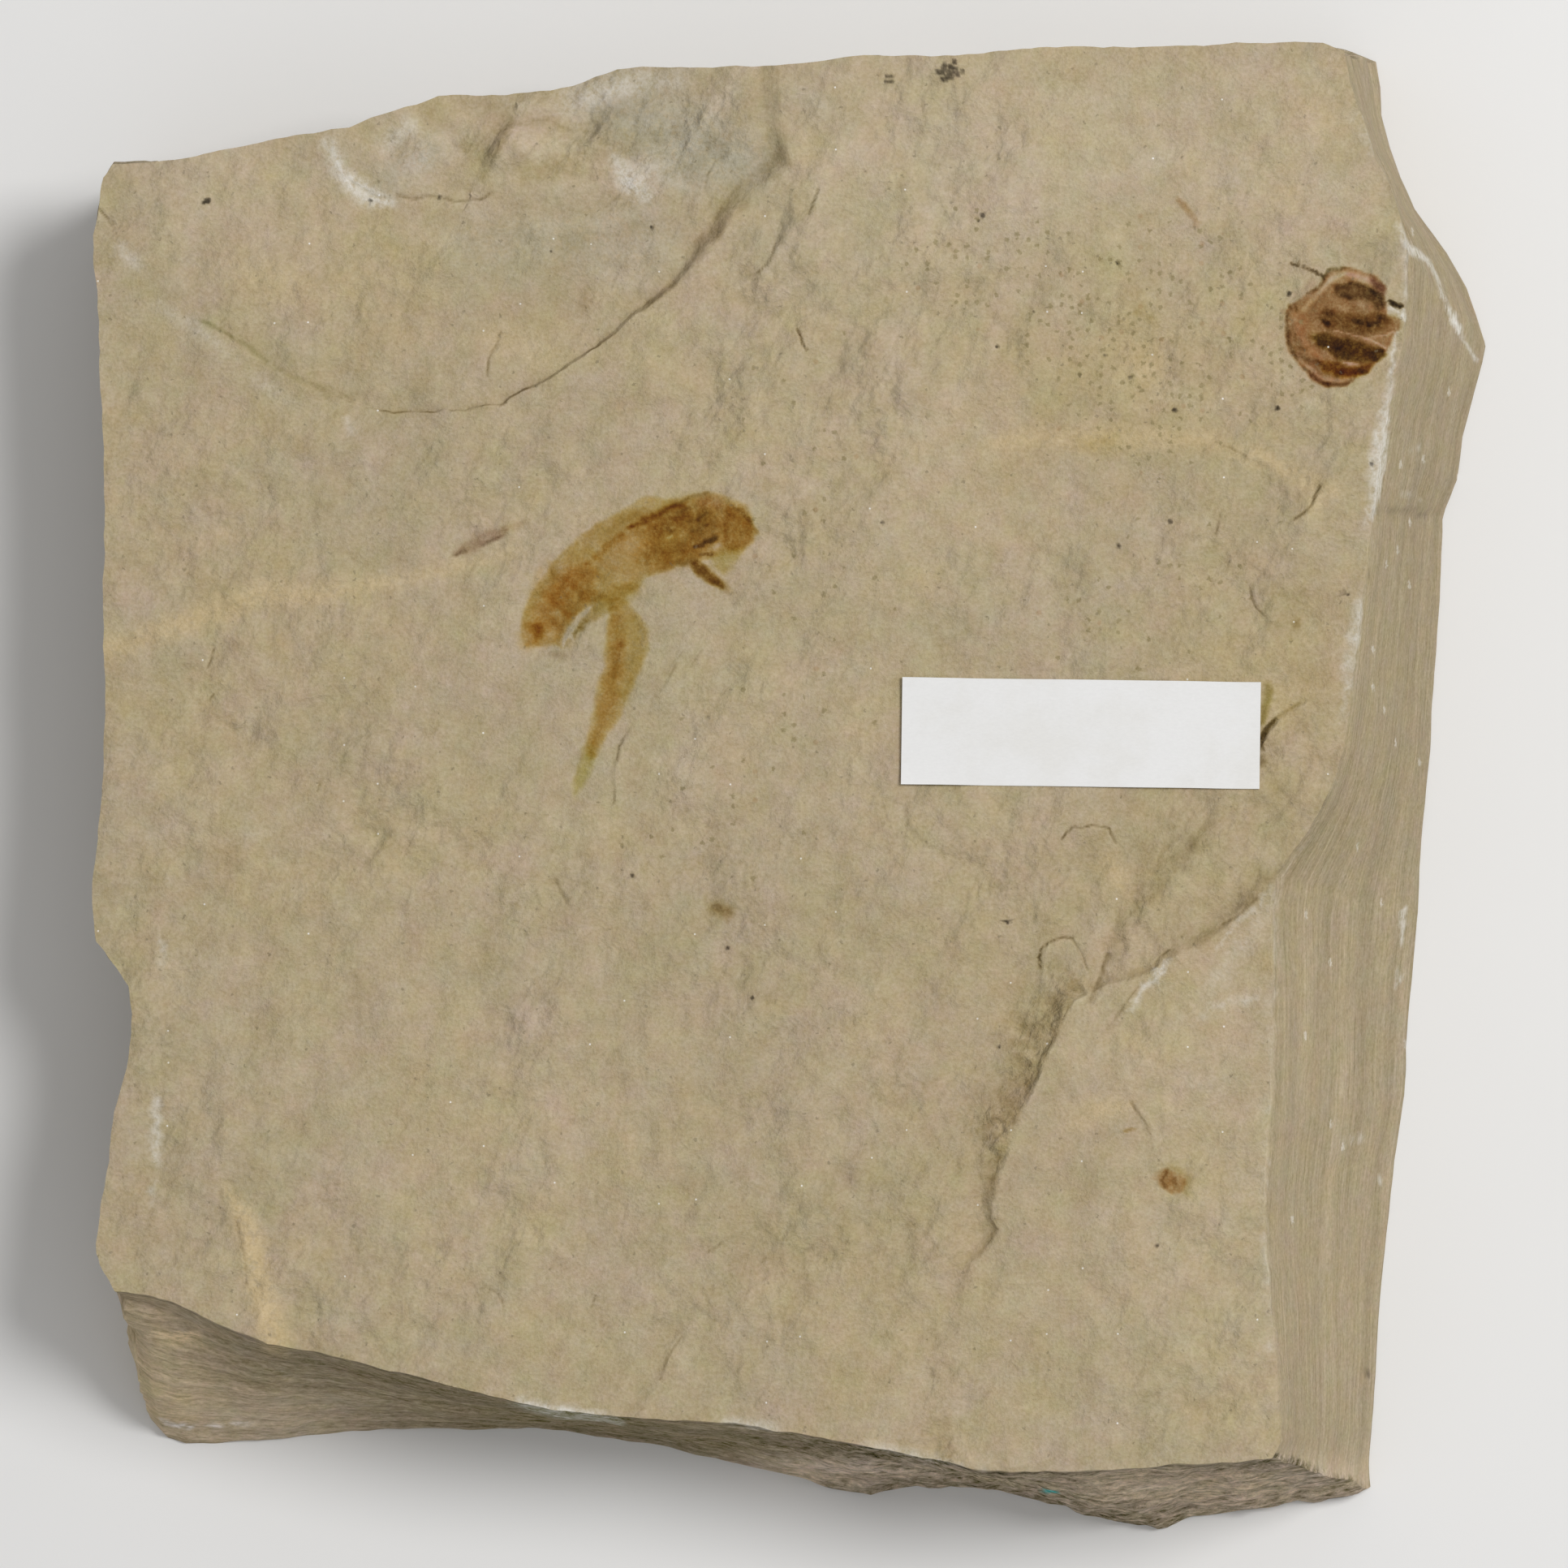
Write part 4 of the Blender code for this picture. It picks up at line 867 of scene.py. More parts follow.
    ((-0.3, 0.08), 0.9, [(-4.0, 18.8, 0.3), (-3.8, 18.6, 0.3)]),
    ((-0.3, -0.1), 0.5, [(-5.5, 19.0, 0.12), (-5.6, 18.4, 0.14)])]
ROUND_FOSSIL_PATCHES = [
    ((0.85, 0.36, 0.6), 0.25, [ (36.15, 35.6), (36.12, 34.4), (36.15, 33.2), (36.35, 32.5),
        (36.8, 32.15), (37.1, 31.7), (37.4, 31.2), (37.9, 30.7), (38.4, 30.25), (39.0, 29.95),
        (39.7, 29.95), (40.4, 30.1), (40.9, 30.35), (41.4, 30.75), (42.0, 31.1), (42.5, 31.45),
        (42.9, 31.8), (43.3, 32.3), (43.6, 32.8), (43.9, 33.3), (44.2, 33.8), (44.5, 34.3),
        (44.55, 35.0), (43.9, 35.15), (43.6, 35.4), (43.45, 36.0), (43.45, 36.8), (43.5, 37.2),
        (43.3, 37.7), (42.9, 38.1), (42.3, 38.35), (41.6, 38.6), (40.9, 38.8), (40.3, 38.85),
        (39.7, 38.6), (39.2, 38.3), (38.9, 37.9), (38.6, 37.4), (38.1, 37.1), (37.6, 36.8),
        (37.1, 36.4), (36.5, 36.05)]),
    ((-0.3, -0.26, -0.24), 0.5, [ (39.0, 37.5), (39.4, 38.2), (40.2, 38.7), (41.2, 38.6),
        (42.2, 38.2), (43.0, 37.7), (42.6, 37.3), (41.6, 37.9), (40.4, 38.0), (39.6, 37.7)]),
    ((0.6, 0.85, 0.0, 0.06), 0.3, [ (39.7, 37.3), (40.1, 37.6), (41.0, 37.65), (41.6, 37.65),
        (42.3, 37.3), (42.9, 36.95), (43.4, 36.5), (43.4, 35.9), (42.9, 35.6), (42.6, 36.2),
        (41.8, 36.5), (40.9, 36.4), (40.2, 36.5), (39.8, 36.9)]),
    ((0.95, 0.4, 0.0, 0.05), 0.5, [ (38.5, 35.0), (39.0, 35.7), (40.0, 35.4), (41.0, 35.5),
        (42.0, 35.3), (42.6, 35.6), (43.6, 35.3), (44.2, 35.1), (43.6, 34.6), (43.0, 34.0),
        (42.2, 34.0), (41.2, 34.2), (40.0, 34.3), (39.2, 34.4)]),
    ((2.1, 1.0, -0.3, 0.45), 0.4, [ (38.2, 33.7), (39.0, 34.0), (39.8, 33.6), (40.8, 33.5),
        (41.8, 33.2), (42.6, 32.9), (43.2, 32.9), (43.5, 32.4), (43.1, 31.95), (42.3, 31.8),
        (41.2, 31.8), (40.3, 31.95), (39.7, 32.3), (39.2, 32.7), (38.6, 33.0)]),
    ((2.7, 0.25, -0.2, 0.1), 0.4, [ (38.4, 31.9), (39.3, 31.9), (40.2, 31.8), (40.6, 31.4),
        (41.3, 31.4), (42.0, 31.7), (42.6, 31.7), (42.1, 31.1), (41.2, 30.8), (40.2, 30.75),
        (39.5, 31.1), (38.9, 31.3)])]
ROUND_FOSSIL_STROKES = [
    ((0.6, 1.5, 0.1), 0.14, [(36.55, 39.1, 0.08), (37.2, 38.95, 0.09), (38.0, 38.6, 0.09),
        (38.6, 38.35, 0.08), (38.85, 38.2, 0.06)]),
    ((0.5, 0.8, 0.1), 0.25, [(38.95, 38.2, 0.08), (38.9, 37.7, 0.1), (38.4, 37.2, 0.12),
        (37.7, 36.9, 0.08)]),
    ((0.3, 0.5, 0.0, 0.1), 0.3, [(38.9, 38.0, 0.12), (39.4, 38.6, 0.16), (40.3, 38.8, 0.12)]),
    ((1.4, 3.4), 0.14, [(43.6, 36.35, 0.04), (44.1, 36.15, 0.14), (44.6, 35.95, 0.16)]),
    ((0.35, 0.35), 0.7, [(39.2, 34.2, 0.2), (41.2, 33.9, 0.3), (42.4, 33.7, 0.2)]),
    ((-1.1, -0.85), 0.12, [(38.9, 34.25, 0.03), (40.1, 34.05, 0.05), (41.4, 33.75, 0.06),
        (42.4, 33.4, 0.06), (43.5, 32.9, 0.05)]),
    ((-0.8, -0.5), 0.16, [(41.9, 33.5, 0.05), (43.1, 33.65, 0.08), (44.2, 34.0, 0.08)]),
    ((-0.5, -0.45, -0.3), 0.4, [(37.5, 35.8, 0.12), (38.3, 36.6, 0.16), (39.1, 37.5, 0.16),
        (39.9, 38.2, 0.18), (40.6, 38.35, 0.1)]),
    ((-0.5, -0.3, 0.15), 0.5, [(40.8, 38.2, 0.16), (41.6, 38.15, 0.22), (42.3, 37.85, 0.16)]),
    ((-0.35, 0.25, 0.35), 0.45, [(42.6, 37.8, 0.16), (43.1, 37.3, 0.22), (43.4, 36.9, 0.12)]),
    ((0.3, 0.5, 0.0, 0.1), 0.2, [(38.9, 38.0, 0.06), (39.3, 38.6, 0.1), (40.0, 38.85, 0.1),
        (40.8, 38.8, 0.05)]),
    ((0.03, 0.06, 0.25), 0.8, [(36.9, 36.8, 0.2), (38.2, 37.6, 0.25)]),
    ((0.5, 0.6, 0.0, 0.05), 0.25, [(39.8, 37.5, 0.08), (41.0, 37.6, 0.1), (41.8, 37.6, 0.12),
        (42.6, 37.1, 0.1)]),
    ((0.4, 0.5), 0.3, [(40.3, 36.8, 0.14), (40.9, 36.6, 0.14)]),
    ((-0.3, -0.25), 0.3, [(40.9, 37.1, 0.14), (41.7, 37.1, 0.16)]),
    ((-0.4, -0.25, 0.05), 0.4, [(41.3, 36.15, 0.14), (42.3, 35.9, 0.18)]),
    ((-0.15, -0.3, 0.1), 0.5, [(36.8, 35.4, 0.12), (37.1, 34.0, 0.2), (37.7, 32.9, 0.2),
        (38.7, 32.2, 0.16)]),
    ((0.35, 0.1, -0.1, 0.3), 0.5, [(38.1, 33.7, 0.25), (38.9, 33.2, 0.3)]),
    ((-0.3, 0.0, 0.25), 0.4, [(39.5, 33.5, 0.12), (39.9, 32.4, 0.16)]),
    ((0.9, -0.15, -0.1, 0.1), 0.6, [(40.6, 32.9, 0.4), (42.4, 32.4, 0.5)]),
    ((1.9, -0.35, -0.25, 0.45), 0.5, [(39.2, 31.3, 0.25), (40.3, 31.0, 0.3), (41.4, 31.0, 0.2)]),
    ((-0.5, -0.5), 0.3, [(37.0, 32.3, 0.08), (37.7, 31.5, 0.14), (38.6, 30.7, 0.2),
        (39.7, 30.45, 0.18), (40.7, 30.6, 0.08)]),
    ((0.3, 0.3, 0.25), 0.25, [(37.6, 31.3, 0.08), (38.1, 30.75, 0.1), (39.0, 30.15, 0.08),
        (40.4, 30.2, 0.1), (41.1, 30.4, 0.06)]),
    ((-0.9, -0.6), 0.14, [(40.2, 31.85, 0.05), (40.8, 31.7, 0.08), (41.5, 31.6, 0.05)]),
    ((0.5, 1.0), 0.25, [(41.2, 34.9, 0.14), (41.7, 34.7, 0.2)]),
    ((0.5, 1.0), 0.25, [(42.3, 34.6, 0.16), (42.9, 34.7, 0.16)]),
    ((0.5, 0.8), 0.25, [(42.9, 35.2, 0.14), (43.6, 35.1, 0.12)]),
    ((0.5, 1.0), 0.25, [(38.9, 34.9, 0.14), (39.2, 34.75, 0.16)]),
    ((0.4, 0.9), 0.25, [(42.4, 37.1, 0.12), (43.2, 36.7, 0.16), (43.3, 36.2, 0.12)]),
    ((0.5, 0.6, 0.1), 0.25, [(38.2, 30.8, 0.12), (38.9, 30.3, 0.14), (40.2, 30.15, 0.1),
        (41.2, 30.6, 0.08)]),
    ((0.3, 0.5, 0.1), 0.3, [(37.1, 32.3, 0.1), (38.3, 31.9, 0.14), (39.4, 31.3, 0.16)]),
    ((0.5, 1.0, 0.0, 0.1), 0.25, [(36.3, 35.4, 0.1), (36.2, 34.4, 0.06), (36.3, 33.2, 0.1),
        (36.6, 32.6, 0.14), (37.0, 32.1, 0.06)]),
    ((0.8, 0.6), 0.2, [(36.45, 36.0, 0.12), (36.6, 35.8, 0.1)]),
    ((0.8, 0.6), 0.2, [(36.95, 35.85, 0.1), (37.0, 35.7, 0.1)]),
    ((0.7, 0.6), 0.14, [(36.9, 33.9, 0.04), (36.85, 33.4, 0.05)]),
    ((0.7, 0.5, 0.0, 0.1), 0.16, [(36.75, 33.0, 0.04), (36.85, 32.2, 0.05)]),
    ((0.6, 0.4), 0.3, [(37.2, 32.9, 0.1), (37.7, 32.7, 0.1), (38.0, 32.9, 0.06)]),
    ((0.6, 0.6), 0.25, [(37.5, 31.4, 0.12), (37.8, 31.1, 0.12), (38.0, 30.8, 0.08)]),
    ((0.1, 0.25, 0.25), 0.4, [(38.2, 30.8, 0.2), (38.7, 30.4, 0.2)]),
    ((0.6, 0.4, 0.0, 0.15), 0.25, [(38.7, 30.2, 0.1), (39.4, 30.05, 0.12)]),
    ((0.2, 0.55, 0.45), 0.5, [(42.5, 37.9, 0.2), (43.2, 37.2, 0.3)]),
    ((0.8, 0.7), 0.35, [(38.8, 34.95, 0.12), (39.3, 34.75, 0.14)]),
    ((0.3, 0.6, 0.1), 0.4, [(39.2, 35.4, 0.2), (39.6, 35.3, 0.12)]),
    ((0.5, 0.25), 0.3, [(41.5, 35.0, 0.12), (41.45, 34.5, 0.14)]),
    ((0.7, 0.6), 0.35, [(42.1, 34.9, 0.14), (42.3, 34.2, 0.16)]),
    ((0.6, 0.6), 0.35, [(43.1, 35.3, 0.16), (43.0, 34.6, 0.16)]),
    ((0.5, 0.7, 0.1), 0.35, [(42.7, 36.9, 0.2), (43.3, 36.7, 0.18)]),
    ((0.7, 0.8), 0.3, [(42.6, 32.5, 0.16), (42.75, 32.05, 0.16)]),
    ((0.5, 0.7), 0.3, [(43.0, 32.75, 0.16), (43.2, 32.65, 0.1)]),
    ((0.4, 0.6, 0.15), 0.5, [(40.0, 32.9, 0.2), (40.6, 32.3, 0.3)]),
    ((0.9, 0.2, 0.0, 0.05), 0.4, [(39.8, 31.0, 0.14), (40.3, 30.9, 0.14)]),
    ((0.5, 0.7), 0.3, [(41.6, 31.3, 0.1), (42.0, 31.15, 0.12)]),
    ((-0.8, -0.4, 0.1), 0.25, [(40.5, 31.85, 0.08), (41.1, 31.6, 0.14)]),
    ((-0.7, -0.3), 0.25, [(40.9, 31.2, 0.12), (41.0, 31.1, 0.08)]),
    ((0.15, 0.15), 0.5, [(40.9, 36.0, 0.3), (42.0, 35.8, 0.3)]),
    ((-0.4, -0.3), 0.3, [(40.1, 36.8, 0.12), (40.5, 36.5, 0.1)]),
    ((-0.2, -0.15, 0.12), 0.6, [(40.8, 38.3, 0.14), (42.0, 38.15, 0.18), (42.6, 37.9, 0.1)]),
    ((-0.3, -0.1), 0.6, [(39.6, 38.2, 0.14), (38.6, 36.9, 0.2), (37.4, 36.5, 0.12)]),
    ((0.0, -0.1, 0.12), 0.8, [(37.4, 35.4, 0.3), (37.5, 34.0, 0.3), (38.0, 32.8, 0.2)]),
    ((-0.2, -0.1, 0.0, 0.2), 0.6, [(38.3, 33.6, 0.2), (38.6, 33.3, 0.2)])]
LOOSE_STROKES = [
    ((0.18, 0.3, 0.22), 0.4, [(-25.2, 17.7, 0.18), (-24.5, 18.0, 0.36), (-23.8, 18.3, 0.36),
        (-23.2, 18.75, 0.48), (-22.3, 19.05, 0.48), (-21.6, 19.4, 0.3)]),
    ((0.2, 0.16, 0.06, 0.05), 0.5, [(-21.6, 19.4, 0.26), (-20.9, 19.7, 0.2), (-20.1, 20.0, 0.08)]),
    ((0.1, 0.2, 0.1), 0.25, [(-23.4, 18.5, 0.08), (-22.3, 18.7, 0.1), (-21.6, 19.1, 0.06)]),
    ((0.2, 0.7, 0.1), 0.25, [(-25.1, 17.6, 0.1), (-24.5, 17.9, 0.12)]),
    ((0.1, 0.6, 0.1), 0.25, [(-23.2, 18.3, 0.1), (-22.2, 18.8, 0.14), (-21.9, 19.0, 0.06)]),
    ((0.4, 0.2, 0.2), 0.35, [(28.2, 43.9, 0.16), (28.7, 43.3, 0.26), (29.2, 42.7, 0.2),
        (29.6, 42.1, 0.1)]),
    ((0.5, 0.3, 0.08), 0.8, [(-6.1, -8.6, 0.4), (-5.2, -8.8, 0.5)]),
    ((0.2, 0.45, 0.06), 0.35, [(-6.2, -8.4, 0.12), (-5.7, -8.5, 0.18)]),
    ((0.1, 0.12), 1.4, [(-5.6, -8.5, 0.8), (-5.3, -8.8, 0.8)]),
    ((0.7, 0.16, 0.36), 0.35, [(27.2, -28.5, 0.62), (28.0, -28.9, 0.74)]),
    ((0.3, 0.06, 0.1), 0.4, [(27.5, -28.7, 0.3), (27.9, -28.9, 0.3)]),
    ((0.6, 0.5, 0.1), 0.25, [(27.4, -27.9, 0.12), (26.9, -28.6, 0.14), (27.3, -29.2, 0.12)]),
    ((0.3, 0.4, 0.1), 0.25, [(27.9, -28.5, 0.16), (28.0, -29.2, 0.14)]),
    ((0.4, 0.14, 0.0, 0.12), 0.7, [(27.7, -27.6, 0.2), (28.8, -28.3, 0.3), (28.8, -29.4, 0.3)]),
    ((0.8, 0.25), 0.25, [(24.2, -24.97, 0.12), (24.9, -24.9, 0.12)]),
    # A dark wedge in the crevice at the label's right end, and its faint run beyond: painted shade
    ((0.9, 1.6, 0.0, 0.3), 0.2, [(34.3, 4.1, 0.1), (34.6, 4.5, 0.2), (35.0, 5.0, 0.13),
        (35.4, 5.4, 0.05)]),
    ((0.3, 0.4, 0.0, 0.2), 0.3, [(35.3, 5.3, 0.1), (36.2, 6.0, 0.08), (37.2, 6.7, 0.04)]),
    ((0.35, 0.3, 0.0, 0.6), 0.5, [(34.9, 8.0, 0.14), (34.9, 7.4, 0.25), (34.6, 6.2, 0.28),
        (34.45, 5.2, 0.2)]),
    ((0.3, 0.7, 0.1, 0.1), 0.25, [(34.7, 8.1, 0.06), (35.1, 8.1, 0.1)]),
    # A painted shadow along the label's right end
    ((0.5, 1.1, 0.0, 0.1), 0.2, [(34.35, 4.0, 0.12), (34.4, 3.0, 0.08), (34.4, 1.8, 0.03)]),
    ((0.5, 0.5, 0.0, 0.1), 0.2, [(36.8, 12.6, 0.05), (37.3, 12.0, 0.12), (37.8, 12.3, 0.06)]),
    ((0.3, 0.4, 0.0, 0.1), 0.2, [(38.2, 7.9, 0.06), (38.25, 6.6, 0.05)]),
    ((0.2, 0.1, 0.0, 0.15), 1.8, [(23.0, 26.0, 0.5), (21.5, 25.8, 0.4)]),
    ((0.25, 0.08, 0.0, 0.08), 0.8, [(25.3, 35.6, 0.25), (26.3, 34.9, 0.25)]),
    ((0.0, 0.4, 0.0, 0.3), 0.3, [(-44.3, 35.0, 0.05), (-43.0, 34.4, 0.14), (-41.6, 33.6, 0.1)]),
    ((0.0, 0.3, 0.0, 0.25), 0.4, [(-41.2, 33.4, 0.1), (-40.4, 32.8, 0.2), (-39.2, 31.9, 0.14)]),
    ((0.0, 0.2, 0.0, 0.2), 0.5, [(-38.6, 31.4, 0.1), (-37.0, 30.6, 0.2), (-35.0, 29.9, 0.14)]),
    ((0.05, 0.12, 0.0, 0.06), 0.9, [(-35.6, 29.7, 0.4), (-31.8, 29.3, 0.4)]),
    # Painted shade, with a little stain, along the steps of two thin flakes at the scar's back
    ((0.2, 0.35, 0.0, 0.1), 0.6, [(-21.0, 49.9, 0.08), (-21.4, 49.2, 0.22), (-22.1, 47.6, 0.28),
        (-22.8, 46.4, 0.16), (-23.3, 45.2, 0.05)]),
    ((0.1, 0.3, 0.0, 0.1), 0.4, [(-21.1, 49.3, 0.1), (-18.4, 49.8, 0.14), (-16.4, 49.0, 0.05)])]
# Painted shade on the faces of the low shelf's and the raised layer's steps
SHADED_STEP_STROKES = [
    ((0.04, 0.12, 0.0, 0.05), 1.8, [(35.6, 0.4, 0.3), (31.6, -2.6, 0.5), (29.0, -4.6, 0.6),
        (26.6, -7.2, 0.6), (24.8, -9.6, 0.6), (23.4, -12.0, 0.4)]),
    ((0.05, 0.16, 0.0, 0.05), 1.6, [(35.4, -6.0, 0.5), (32.6, -8.4, 0.7), (29.8, -10.6, 0.5),
        (27.6, -11.8, 0.3)])]

# How the stains' outlines and the tints' wander: layers of noise as above
WANDER_X = [(0.14, 2.0, 0.9), (0.05, 4.0, 0.3)]
WANDER_Y = [(0.14, 6.0, 0.9), (0.05, 8.0, 0.3)]
TINT_WANDER = [(0.25, 11.0, 0.8), (0.12, 13.0, 0.35)]
# The rings across the cricket's abdomen: the line they are on, where they start, and their width
ABDOMEN = [(-19.0, 12.4, 0.9), (-17.2, 14.6, 1.5), (-15.2, 16.2, 1.3)]
ABDOMEN_END = (-19.6, 11.6)
ABDOMEN_RING = 0.92

# Dark mineral grains: (x, y, radius), and clusters: (x, y, reach, how many, radius of a grain)
GRAIN_STRENGTH = 1.9
CLUSTER_STRENGTH = 1.7
CLUSTER_SEED = 5
GRAINS = [
    (13.8, 42.7, 0.16), (13.4, 42.3, 0.1), (23.8, 39.2, 0.13), (27.9, 28.3, 0.13),
    (27.6, 20.0, 0.14), (14.8, 32.9, 0.1), (17.5, 35.6, 0.08), (20.9, 30.9, 0.11),
    (24.6, 30.7, 0.1), (22.8, 32.3, 0.09), (15.6, -9.6, 0.12), (26.7, -33.4, 0.1),
    (15.0, -18.8, 0.1), (-31.5, 43.8, 0.1), (-26.4, 44.0, 0.12), (-18.2, 40.1, 0.1),
    (-10.7, 41.8, 0.09), (42.5, 24.3, 0.12), (40.8, 14.6, 0.1), (-43.6, 43.8, 0.22),
    (-43.9, 43.6, 0.13), (-5.1, -11.5, 0.12), (36.4, 36.9, 0.14), (23.8, 18.2, 0.12),
    (6.3, 20.0, 0.12), (35.5, 28.4, 0.12), (-12.1, -6.2, 0.13), (-3.3, -15.2, 0.1)]
CLUSTERS = [(11.4, 53.2, 0.95, 40, 0.17), (6.6, 52.8, 0.5, 12, 0.1)]

# Paler and warmer ground: (strength, blur, line of x, y and half width)
OCHRE_STROKES = [
    (0.62, 1.5, [(-42.3, -29.0, 0.2), (-40.9, -31.4, 0.7), (-40.1, -34.0, 0.9),
        (-39.6, -37.0, 1.0), (-38.6, -40.6, 1.0)]),
    (0.45, 1.6, [(-51.1, 10.4, 0.8), (-44.5, 12.8, 0.8), (-39.1, 15.0, 0.9), (-36.1, 14.5, 0.7),
        (-33.1, 15.2, 0.5), (-28.9, 15.8, 0.4), (-25.3, 16.6, 0.35), (-21.1, 17.7, 0.2)]),
    (0.4, 1.6, [(14.3, 25.9, 0.3), (17.3, 26.2, 0.6), (22.1, 26.1, 1.0), (29.9, 26.1, 0.6),
        (34.7, 24.4, 0.6), (39.5, 22.4, 0.7)]),
    (0.45, 1.8, [(23.6, -6.2, 0.7), (23.0, -5.0, 0.7)]),
    (0.45, 2.0, [(21.2, -24.2, 0.6), (22.4, -23.2, 0.7), (24.6, -23.0, 0.5)]),
    (0.3, 4.0, [(-40.5, 38.6, 1.2), (-37.0, 37.2, 1.0)]),
    (0.25, 4.0, [(25.2, 33.5, 2.0), (25.5, 30.5, 1.5)]),
    (0.35, 1.4, [(37.8, 21.0, 0.6), (39.2, 22.2, 0.6)]),
    (0.3, 2.0, [(35.4, 8.0, 0.5), (36.0, 5.5, 0.6)]),
    (0.3, 4.0, [(-22.0, 33.5, 1.0), (-18.5, 32.6, 1.0)]),
    (0.6, 0.8, [(-48.4, -39.3, 0.4), (-46.2, -40.4, 0.5), (-44.6, -40.3, 0.3)])]
